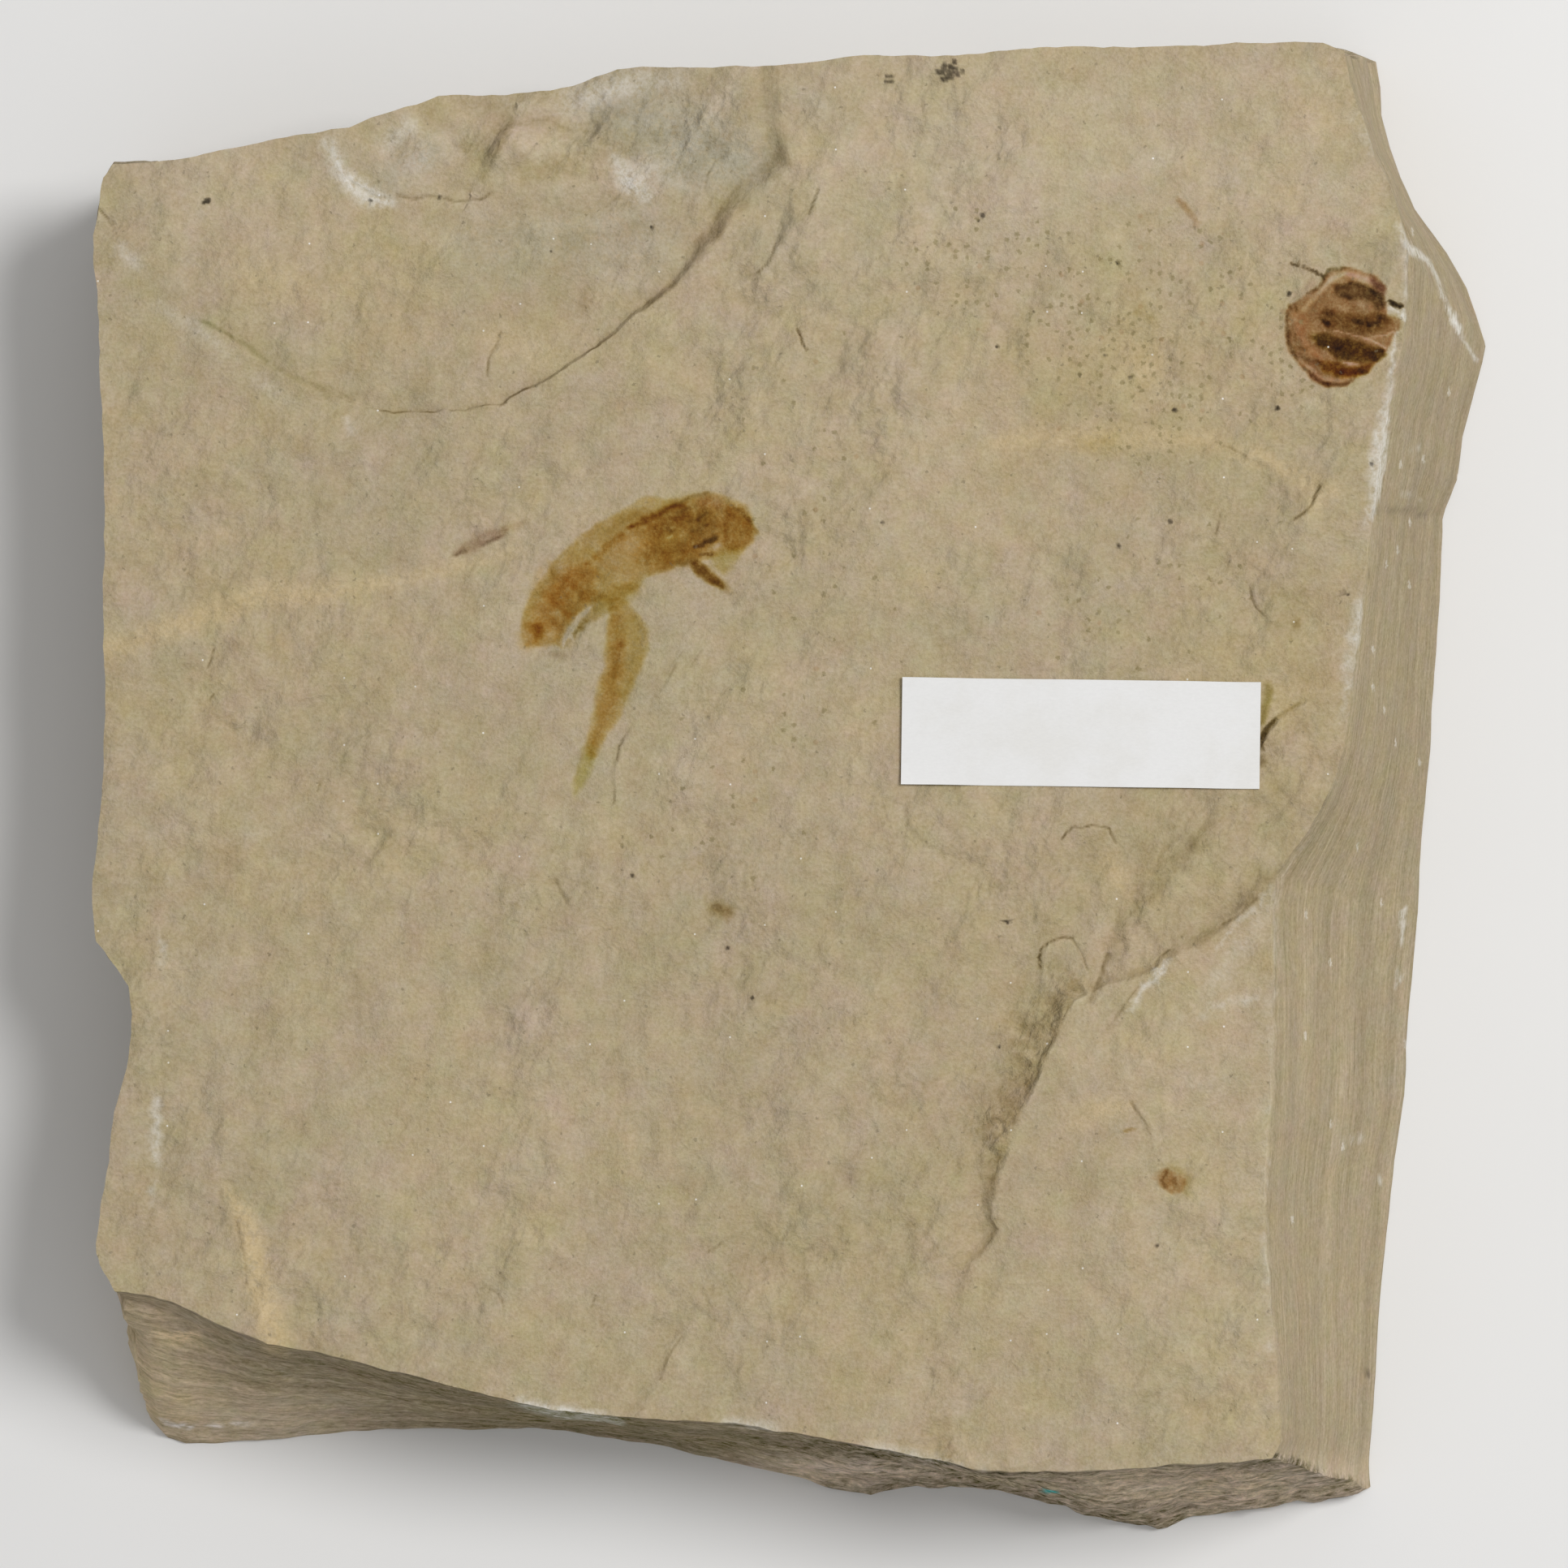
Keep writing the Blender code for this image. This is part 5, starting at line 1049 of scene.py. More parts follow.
PALE_STROKES = [
    (0.55, 0.9, [(-34.7, 48.1, 0.3), (-33.5, 45.6, 0.5), (-31.9, 44.2, 0.8), (-30.2, 43.7, 0.35)]),
    (0.4, 1.2, [(-28.6, 49.3, 0.5), (-30.3, 47.9, 0.4)]),
    (0.3, 1.4, [(-28.3, 46.8, 0.5), (-27.2, 46.6, 0.4)]),
    (0.55, 1.2, [(-13.4, 46.9, 0.3), (-12.6, 45.3, 0.7), (-11.3, 44.4, 0.6)]),
    (0.2, 2.4, [(-12.2, 46.3, 0.8), (-9.0, 45.4, 0.5)]),
    (0.4, 2.4, [(-16.9, 51.2, 0.8), (-14.5, 52.4, 1.0), (-12.1, 52.6, 0.9), (-9.1, 53.0, 0.5)]),
    # Pale lines on the raised layer's crests: painted highlight, partly whitish bruises
    (0.5, 0.4, [(27.6, -12.4, 0.1), (26.6, -13.3, 0.3), (25.6, -14.4, 0.16), (24.6, -16.2, 0.05)]),
    (0.35, 0.4, [(35.1, -6.9, 0.08), (33.8, -8.6, 0.14), (32.3, -9.8, 0.1), (31.0, -11.6, 0.05)]),
    (0.35, 0.35, [(30.0, -16.8, 0.1), (30.8, -15.9, 0.14), (32.2, -15.6, 0.1),
        (34.6, -15.2, 0.06)]),
    (0.4, 0.3, [(45.0, 40.0, 0.1), (45.0, 38.0, 0.08), (44.9, 36.4, 0.1)]),
    (0.56, 0.4, [(44.4, 34.2, 0.1), (44.0, 31.6, 0.14), (43.7, 29.4, 0.22), (43.4, 27.6, 0.34),
        (43.2, 26.2, 0.52), (43.0, 24.5, 0.68), (42.8, 22.6, 0.46), (42.45, 20.9, 0.2),
        (42.2, 19.4, 0.06)]),
    (0.55, 0.4, [(41.7, 14.1, 0.1), (41.6, 13.0, 0.2), (41.3, 11.5, 0.26), (40.8, 9.1, 0.22),
        (40.7, 7.5, 0.08)]),
    (0.2, 0.25, [(35.35, -5.0, 0.03), (35.2, -17.8, 0.05), (34.55, -29.6, 0.05),
        (34.6, -33.7, 0.13), (35.0, -39.4, 0.13), (35.1, -42.0, 0.06)]),
    # Painted light on a lit facet beside the raised layer's crest
    (0.16, 1.2, [(30.5, -14.5, 0.4), (33.5, -10.5, 0.6), (35.3, -7.7, 0.4)]),
    (0.22, 1.0, [(36.2, -6.5, 0.3), (37.6, -4.6, 0.4)]),
    (0.45, 0.3, [(-47.6, -47.1, 0.1), (-46.5, -47.6, 0.14), (-45.2, -47.6, 0.1)]),
    (0.4, 0.3, [(-44.2, -47.4, 0.1), (-43.4, -47.5, 0.12)]),
    (0.35, 0.3, [(-42.2, -47.3, 0.1), (-41.2, -47.4, 0.12)]),
    (0.3, 0.25, [(-38.4, -42.9, 0.08), (-37.9, -43.1, 0.08)]),
    (0.35, 0.4, [(40.7, 8.0, 0.1), (40.5, 6.5, 0.18), (40.3, 4.4, 0.18), (40.2, 3.4, 0.06)]),
    (0.5, 0.3, [(45.7, -8.6, 0.12), (45.5, -10.0, 0.2), (45.4, -11.4, 0.1)]),
    (0.4, 0.3, [(45.2, -13.4, 0.14), (45.1, -14.6, 0.1)]),
    (0.35, 0.3, [(40.2, -25.9, 0.14), (41.1, -25.8, 0.1), (42.9, -26.0, 0.12)]),
    (0.5, 0.3, [(43.9, -28.8, 0.14), (43.8, -29.4, 0.1)]),
    (0.3, 0.4, [(37.4, -38.0, 0.14), (37.9, -38.6, 0.12)]),
    (0.35, 0.3, [(44.5, 26.0, 0.1), (45.9, 25.6, 0.12), (47.0, 25.9, 0.08)]),
    (0.3, 0.3, [(45.0, 22.2, 0.1), (46.6, 22.0, 0.1)]),
    (0.5, 0.6, [(41.4, 49.8, 0.2), (41.9, 48.6, 0.3), (42.5, 47.2, 0.1)]),
    (0.56, 0.35, [(44.5, 42.0, 0.2), (44.8, 41.0, 0.26), (45.4, 40.2, 0.3), (46.9, 39.7, 0.24),
        (47.3, 39.1, 0.16), (47.8, 38.0, 0.14), (48.5, 36.3, 0.14)]),
    (0.75, 0.3, [(48.6, 36.2, 0.12), (49.2, 35.2, 0.3), (49.6, 34.4, 0.2)]),
    (0.5, 0.3, [(49.8, 34.0, 0.08), (50.5, 33.2, 0.1), (51.0, 32.5, 0.16)]),
    (0.8, 0.8, [(-20.8, -45.2, 0.25), (-18.7, -45.8, 0.6), (-16.9, -46.1, 0.7),
        (-15.7, -46.3, 0.5), (-13.3, -46.6, 0.3)]),
    (0.5, 0.5, [(-5.6, -46.4, 0.15), (-3.4, -46.7, 0.35), (-1.3, -47.0, 0.25)]),
    (0.4, 0.4, [(5.0, -48.2, 0.1), (9.0, -49.1, 0.18), (14.0, -50.0, 0.12)]),
    (0.6, 0.5, [(-47.4, -22.0, 0.12), (-47.3, -24.2, 0.24), (-47.4, -27.2, 0.18)]),
    (0.5, 0.4, [(-47.6, -29.0, 0.16), (-47.6, -30.2, 0.12)]),
    (0.6, 0.3, [(-46.6, -5.7, 0.14), (-46.5, -6.3, 0.1)]),
    (0.5, 0.4, [(-47.0, -10.9, 0.16), (-46.9, -12.5, 0.12)]),
    (0.35, 1.4, [(-50.0, 40.2, 0.4), (-49.0, 39.2, 0.3)]),
    (0.2, 1.4, [(-47.2, 36.0, 0.25), (-45.4, 34.9, 0.35), (-43.0, 33.4, 0.35),
        (-41.6, 32.0, 0.1)]),
    (0.17, 1.4, [(-40.6, 31.0, 0.1), (-39.4, 30.3, 0.4), (-38.2, 29.4, 0.3), (-37.0, 28.4, 0.1)]),
    (0.3, 0.5, [(-33.1, 27.6, 0.2), (-32.8, 26.8, 0.2)]),
    (0.8, 0.25, [(44.85, 35.6, 0.14), (44.8, 35.2, 0.18)]),
    (0.45, 0.4, [(43.9, 35.75, 0.2), (44.5, 35.55, 0.18)]),
    (0.8, 0.4, [(37.7, -30.7, 0.2), (37.8, -31.4, 0.3)])]
# Greyer ground in and round the flake scar's hollow: partly its own tone, partly painted shade
GREY_STROKES = [
    (0.5, 5.0, [(-13.0, 50.5, 2.0), (-7.0, 47.5, 3.0), (-3.5, 46.5, 1.5)]),
    (0.4, 3.0, [(-30.0, 45.6, 1.0), (-27.0, 47.5, 1.0)]),
    (0.3, 5.0, [(-24.0, 40.5, 2.0), (-12.0, 41.0, 3.0)])]
# A turquoise grain low on the front face
TURQUOISE_STROKES = [(1.0, 0.25, [(18.6, -52.1, 0.16), (19.1, -52.2, 0.22)])]
# Dark lines on the sloping faces; the first is painted shade under the right face's notch
FACE_LINES = [
    (0.4, 0.25, [(42.4, 20.9, 0.05), (44.3, 21.0, 0.08), (46.0, 20.9, 0.1), (47.4, 20.9, 0.08),
        (48.3, 21.1, 0.05)]),
    (0.5, 0.3, [(42.2, 16.6, 0.12), (42.3, 16.3, 0.1)]),
    (0.9, 0.3, [(42.85, -43.5, 0.1), (42.95, -43.9, 0.1)])]
# How often the heights are evened out to tell what stands above the ground round it, for the
# painted shade in hollows and painted light on what stands out
RELIEF_ROUNDS = 14
# Where the stone is freckled with olive brown grains
FRECKLE_STROKES = [
    (0.9, 9.0, [(19.0, 36.5, 2.0), (24.5, 32.0, 4.0), (28.0, 27.0, 2.0)]),
    (0.6, 8.0, [(11.0, 39.0, 2.0), (30.0, 38.0, 2.0), (35.0, 31.0, 2.0)]),
    (0.14, 10.0, [(0.0, 32.0, 2.0), (2.0, 10.0, 3.0), (-8.0, -4.0, 3.0)]),
    (0.2, 8.0, [(24.0, 14.0, 4.0), (34.0, 16.0, 2.0)])]
# The front and right faces are beyond these, and the front edge is chipped from the last on
FRONT_FACE_Y = -40.0
RIGHT_FACE_X = 40.0
CHIPS_FROM_X = -24.0
# Broad changes of the stone's colour, partly its own tone and partly painted light: (x, y,
# reach along x, reach along y, lighter, yellower)
WASHES = [
    (9.0, 46.0, 16.0, 9.0, 0.1, -0.25), (30.0, 47.0, 14.0, 8.0, 0.06, 0.0),
    (-42.0, 45.0, 12.0, 8.0, 0.07, 0.0), (25.0, 32.0, 12.0, 9.0, -0.01, 0.75),
    (-30.0, 36.0, 12.0, 6.0, 0.0, 0.35), (30.0, -36.0, 16.0, 13.0, 0.07, 0.25),
    (33.0, -16.0, 8.0, 9.0, 0.04, 0.2), (26.0, -6.0, 10.0, 7.0, -0.05, 0.35),
    (37.0, 6.0, 5.0, 10.0, -0.06, 0.2), (-28.0, -28.0, 16.0, 14.0, 0.03, 0.1),
    (-5.0, -8.0, 14.0, 9.0, -0.03, 0.05), (-30.0, 4.0, 12.0, 8.0, -0.01, 0.15),
    (-14.0, 4.0, 8.0, 12.0, 0.03, 0.0), (3.0, 12.0, 9.0, 14.0, 0.02, 0.1),
    (6.0, -30.0, 12.0, 9.0, -0.04, 0.15), (14.0, -20.0, 5.0, 10.0, -0.04, 0.1),
    (-12.0, 44.0, 10.0, 6.0, -0.03, -0.3), (10.0, 26.0, 8.0, 8.0, 0.02, 0.0),
    (33.0, 10.0, 8.0, 10.0, -0.03, 0.3), (-42.0, 10.0, 8.0, 20.0, 0.0, 0.2),
    (-38.0, -44.0, 16.0, 5.0, 0.0, 0.2)]
# The same on the broken sides alone: painted shade under the front's top edge and on the right
# face, painted light lower on the front, and some of the faces' own tone
FRONT_WASHES = [
    (-48.0, -42.5, 5.0, 6.0, 0.66, 0.9), (-43.0, -46.5, 6.0, 2.0, 0.3, 0.3),
    (-20.0, -46.0, 10.0, 2.5, -0.32, 0.0), (-28.0, -43.5, 9.0, 1.5, -0.18, 0.0),
    (-9.0, -47.8, 7.0, 2.0, -0.16, 0.0), (6.0, -48.8, 12.0, 1.0, -0.4, 0.0),
    (15.0, -49.9, 6.0, 0.7, -0.26, 0.0), (3.5, -50.5, 6.5, 1.5, 0.95, 0.0),
    (13.0, -50.9, 5.0, 1.2, 0.2, 0.3), (32.0, -51.9, 9.5, 2.2, 1.0, 0.4),
    (23.0, -50.9, 5.5, 1.7, 0.56, 0.3), (31.0, -49.4, 4.0, 0.7, -0.16, 0.0),
    (41.5, -51.0, 4.0, 3.0, -0.08, 0.0), (-37.0, -47.0, 7.0, 2.6, 0.4, 0.0),
    (-25.0, -45.6, 5.0, 2.0, 0.12, 0.0), (50.0, 0.0, 7.0, 40.0, -0.035, 0.0)]


def patch(outline, blur, x, y):
    """How much an outlined patch covers each place."""
    cover = np.zeros(x.shape)
    near = box_of(outline, blur, x, y)
    near_x, near_y = x[near], y[near]
    closed = outline + outline[:1]
    distance, _ = beside(closed, near_x, near_y)
    inside = np.zeros(near_x.shape, bool)
    for start, end in zip(closed, closed[1:]):
        spans = (start[1] > near_y) != (end[1] > near_y)
        if start[1] != end[1]:
            slope = (end[0] - start[0]) / (end[1] - start[1])
            inside ^= spans & (near_x < start[0] + (near_y - start[1]) * slope)
    signed = np.where(inside, np.abs(distance), -np.abs(distance))
    cover[near] = covered(signed, blur)
    return cover


def abdomen_rings(x, y):
    """The darker and lighter rings across the cricket's abdomen."""
    off_x, off_y = x - ABDOMEN_END[0], y - ABDOMEN_END[1]
    along, across = off_x * 0.66 + off_y * 0.75, off_x * 0.75 - off_y * 0.66
    rings = np.sin((along + 0.05 * across * across) * 2.0 * math.pi / ABDOMEN_RING)
    return stroke(ABDOMEN, 0.8, x, y) * rings


def paint_stains(x, y):
    """The strengths of the brown, black, rose and olive stains at each place; some strokes are
    painted shade.
    """
    x, y = x + layered_noise(x, y, WANDER_X), y + layered_noise(x, y, WANDER_Y)
    strengths = np.zeros((4,) + x.shape)
    strokes = CRICKET_STROKES + ROUND_FOSSIL_STROKES + LOOSE_STROKES + SHADED_STEP_STROKES
    for tool, marks in ((patch, CRICKET_PATCHES + ROUND_FOSSIL_PATCHES), (stroke, strokes)):
        for amounts, blur, shape in marks:
            cover = tool(shape, blur, x, y)
            for strength, amount in zip(strengths, amounts):
                strength += amount * cover
    strengths[0] += 0.2 * abdomen_rings(x, y)
    for grain_x, grain_y, radius in GRAINS:
        spot = ease(1.6 - np.hypot(x - grain_x, y - grain_y) / radius)
        strengths[1] += GRAIN_STRENGTH * spot
    return np.maximum(strengths, 0.0)


def paint_clusters(x, y):
    """Tight clusters of black mineral grains."""
    dice = np.random.default_rng(CLUSTER_SEED)
    black = np.zeros(x.shape)
    for centre_x, centre_y, reach, count, size in CLUSTERS:
        near = np.hypot(x - centre_x, y - centre_y) < reach * 2.5
        for _ in range(count):
            off_x, off_y = dice.normal(0.0, reach * 0.5, 2)
            radius = size * dice.uniform(0.5, 1.1)
            off = np.hypot(x[near] - centre_x - off_x, y[near] - centre_y - off_y * 0.7)
            black[near] = np.maximum(black[near], CLUSTER_STRENGTH * ease(1.6 - off / radius))
    return black


def paint_ground(marks, x, y):
    """The strength of a tint of the ground at each place."""
    wander = layered_noise(x, y, TINT_WANDER)
    tint = np.zeros(x.shape)
    for strength, blur, line in marks:
        tint = np.maximum(tint, strength * stroke(line, blur, x + wander, y - wander))
    return tint


def paint_washes(washes, x, y):
    """Broad changes of the stone's colour: how much lighter, and how much yellower."""
    washed = np.zeros((2,) + x.shape)
    for wash_x, wash_y, reach_x, reach_y, *amounts in washes:
        fall = np.exp(-((x - wash_x) / reach_x) ** 2 - ((y - wash_y) / reach_y) ** 2)
        washed += np.array(amounts)[:, None] * fall
    return washed


def paint_rim_shade(x, y):
    """Painted shade in the steps of the flake scar, the raised layer and the low shelf."""
    uneven = np.clip(0.7 + 1.1 * noise_at(x, y, 23.0, 2.2), 0.0, 1.5)
    broken = np.clip(0.4 + 1.9 * noise_at(x, y, 29.0, 1.3), 0.0, 1.5)
    jag_x, jag_y = jags(x, y)
    x, y = x + jag_x, y + jag_y
    distance, (drop, run) = beside(FLAKE_SCAR_RIM, x, y)
    high = ease((drop - 0.45) / 0.3)
    crest = covered(0.06 - np.abs(distance - 0.1), 0.14) * (1.0 - 0.7 * high)
    face = ease(distance / 0.12 + 0.7) * ease((run + 0.3 - distance) / 0.5)
    shade_and_dirt = np.maximum(0.7 * crest * broken, (0.12 + 0.2 * high * broken) * face)
    shade_and_dirt *= ease((drop - 0.12) / 0.2) * uneven
    for line, crest_blur, foot, foot_blur, drop_blur, patches in (
            (RAISED_LAYER_RIM, 0.3, 0.75, 0.5, 0.3, uneven),
            (LOW_SHELF_RIM, 0.5, 0.7, 0.6, 0.2, broken)):
        distance, (drop, run) = beside(line, x, y)
        face = ease(-distance / crest_blur + 0.5)
        face *= ease((run * foot + distance) / (run * foot_blur))
        shade_and_dirt = np.maximum(shade_and_dirt, face * ease((drop - 0.1) / drop_blur) * 0.16 * patches)
    return shade_and_dirt


def relief_of_top(piece, top):
    """How far each point of the top stands above or below the ground round it."""
    ends = np.array([edge.vertices for edge in piece.data.edges])
    ends = ends[top[ends].all(axis=1)]
    height = points_of(piece.data)[:, 2] / MM
    smooth = height.copy()
    count = len(height)
    neighbours = np.maximum(np.bincount(ends.ravel(), minlength=count), 1)
    for _ in range(RELIEF_ROUNDS):
        total = (np.bincount(ends[:, 0], smooth[ends[:, 1]], count)
                 + np.bincount(ends[:, 1], smooth[ends[:, 0]], count))
        smooth = np.where(top, 0.5 * smooth + 0.5 * total / neighbours, smooth)
    return np.where(top, height - smooth, 0.0)


def add_attribute(piece, name, values):
    """Stores one value for each point, for the material to read."""
    attribute = piece.data.attributes.new(name, "FLOAT", "POINT")
    attribute.data.foreach_set("value", np.ascontiguousarray(values, np.float32))


def paint_slab(piece, row, rugged, ledges):
    """Stores the stains and tints of the whole slab, with its painted shade and light."""
    x, y, z = points_of(piece.data).T / MM
    y = y - DRAWING_SHIFT_Y
    top = row <= 0
    top_x, top_y = x[top], y[top]
    stains = np.zeros((4, len(x)))
    stains[:, top] = paint_stains(top_x, top_y)
    brown, black, _, _ = stains
    black[top] += paint_clusters(top_x, top_y)
    # Painted shade on the steps' faces and along the scar's rim, as black and brown
    shade_and_dirt = paint_rim_shade(top_x, top_y)
    black[top] += shade_and_dirt
    brown[top] += 0.6 * shade_and_dirt
    uneven = 0.8 + 0.9 * noise_at(top_x, top_y, 27.0, 0.9)
    # The grooves get painted shade, with some dirt, as black and brown
    for half_width, _, shade_and_dirt, line in CRACKS:
        groove = stroke([point + (half_width * 0.45,) for point in line], 0.14, top_x, top_y)
        black[top] += shade_and_dirt * groove * uneven
        brown[top] += 0.4 * shade_and_dirt * groove * uneven
    # The rough slope below the raised layer is darker: partly its own colour, partly painted shade
    rough = broken_slope(top_x, top_y)
    black[top] += rough * 0.1
    brown[top] += rough * 0.12
    # Marks on the sides show only near the top and on the right and front faces
    shown = top | (row < 3) | (x > RIGHT_FACE_X) | (y < FRONT_FACE_Y)
    faces = shown & ~top
    black[faces] += paint_ground(FACE_LINES, x[faces], y[faces])
    # Painted shade in a line just under the front face's top edge
    shaded_under_edge = (row == 1) & (y < -36.0)
    black[shaded_under_edge] += 0.4 * rugged[shaded_under_edge]
    torn = rugged * crumbly_part(x) * ease((-y - 44.0) / 3.0)
    torn[top] = torn_ground(top_x, top_y)
    add_attribute(piece, "torn", torn)
    washed = paint_washes(WASHES, x, y)
    washed[:, ~top] += paint_washes(FRONT_WASHES, x[~top], y[~top])
    for name, values in zip(("lighter", "yellower"), washed):
        add_attribute(piece, name, values)
    # Relief that the material turns into painted shade in hollows and painted light on what stands
    # out
    add_attribute(piece, "relief_shade", np.where(top, relief_of_top(piece, top), ledges))
    for name, marks in (("ochre", OCHRE_STROKES), ("pale", PALE_STROKES), ("grey", GREY_STROKES),
                        ("freckle", FRECKLE_STROKES), ("turquoise", TURQUOISE_STROKES)):
        tint = np.zeros(len(x))
        tint[shown] = paint_ground(marks, x[shown], y[shown])
        if name == "pale":
            # The chips of the front edge end well above the table
            chipped = ~top & (y < -44.0) & (x > CHIPS_FROM_X)
            tint[chipped] *= ease((z[chipped] - 7.5) / 5.0)
        add_attribute(piece, name, tint)
    for name, values in zip(("brown", "black", "rose", "olive"), stains):
        add_attribute(piece, name, values)
    add_attribute(piece, "side", np.clip(row, 0, 1))
    add_attribute(piece, "rugged", np.where(row > 0, rugged, 0.0))


slab_right, _ = facing(slab_outward)
slab_ground = (np.maximum(slab_row, 0), slab_column)
paint_slab(slab, slab_row, 1.0 - slab_right[slab_ground], slab_ledges[slab_ground])


class Nodes:
    """Adds and links the nodes of one material."""

    def __init__(self, name):
        self.material = bpy.data.materials.new(name)
        self.material.use_nodes = True
        self.tree = self.material.node_tree
        self.shader = self.tree.nodes["Principled BSDF"]

    def add(self, kind, *inputs, **settings):
        """A node of that kind; each input is a value or another node's output, or None."""
        node = self.tree.nodes.new(kind)
        for name, value in settings.items():
            setattr(node, name, value)
        for socket, value in zip(node.inputs, inputs):
            if isinstance(value, bpy.types.NodeSocket):
                self.tree.links.new(value, socket)
            elif value is not None:
                socket.default_value = value
        return node

    def math(self, operation, *inputs, clamp=False):
        """The result of a sum on numbers."""
        node = self.add("ShaderNodeMath", *inputs, operation=operation, use_clamp=clamp)
        return node.outputs[0]

    def plus(self, first, second):
        """Two numbers added."""
        return self.math("ADD", first, second)

    def times(self, first, second):
        """Two numbers multiplied."""
        return self.math("MULTIPLY", first, second)

    def centred(self, noise):
        """Noise from 0 to 1, moved to lie round 0."""
        return self.math("SUBTRACT", noise, 0.5)

    def attribute(self, name):
        """A number stored on the mesh."""
        return self.add("ShaderNodeAttribute", attribute_name=name).outputs["Fac"]

    def millimetres(self):
        """The place on the piece, in millimetres."""
        metres = self.add("ShaderNodeTexCoord").outputs["Object"]
        return self.scaled(metres, (1000.0, 1000.0, 1000.0))

    def noise(self, place, size, detail=3.0, roughness=0.55, output="Fac"):
        """Noise from 0 to 1 whose lumps are about size across."""
        node = self.add("ShaderNodeTexNoise", place, None, 1.0 / size, detail, roughness)
        return node.outputs[output]

    def spread(self, value, low, high, to_low=0.0, to_high=1.0, smooth=True):
        """Maps low to to_low and high to to_high, and holds them beyond."""
        node = self.add("ShaderNodeMapRange", value, low, high, to_low, to_high)
        node.interpolation_type = "SMOOTHSTEP" if smooth else "LINEAR"
        return node.outputs[0]

    def mix(self, kind, factor, first, second):
        """Two colours mixed."""
        node = self.add("ShaderNodeMix", data_type="RGBA", blend_type=kind)
        for name, value in (("Factor", factor), ("A", first), ("B", second)):
            sockets = [one for one in node.inputs if one.name == name and one.enabled]
            if isinstance(value, bpy.types.NodeSocket):
                self.tree.links.new(value, sockets[0])
            else:
                sockets[0].default_value = value
        return [one for one in node.outputs if one.enabled][0]

    def scaled(self, place, scale):
        """A place or colour multiplied by another, axis by axis."""
        return self.add("ShaderNodeVectorMath", place, scale, operation="MULTIPLY").outputs[0]

    def moved(self, place, offset):
        """A place or colour with an offset added to it."""
        return self.add("ShaderNodeVectorMath", place, offset, operation="ADD").outputs[0]

    def blend(self, factor, first, second):
        """Two numbers mixed."""
        return self.add("ShaderNodeMix", factor, None, first, second,
                        data_type="FLOAT").outputs[0]

    def speckled(self, base, place, spacing, radius, share, strength, colour):
        """A colour with round grains of another in that share of cells about spacing apart."""
        cells = self.add("ShaderNodeTexVoronoi", place, None, 1.0 / spacing,
                         voronoi_dimensions="2D")
        reach = radius / spacing
        dot = self.spread(cells.outputs["Distance"], reach * 0.6, reach * 1.3, strength, 0.0)
        dice = self.add("ShaderNodeSeparateColor", cells.outputs["Color"]).outputs[0]
        chosen = self.math("LESS_THAN", dice, share)
        return self.mix("MIX", self.times(dot, chosen), base, colour)

    def finish(self, colour, roughness, height=None, strength=1.0, depth=0.0):
        """Joins the colour, the roughness and the fine relief to the surface."""
        self.tree.links.new(colour, self.shader.inputs["Base Color"])
        self.shader.inputs["Roughness"].default_value = roughness
        if height is not None:
            bump = self.add("ShaderNodeBump", strength, depth * MM)
            self.tree.links.new(height, bump.inputs["Height"])
            self.tree.links.new(bump.outputs[0], self.shader.inputs["Normal"])
        return self.material


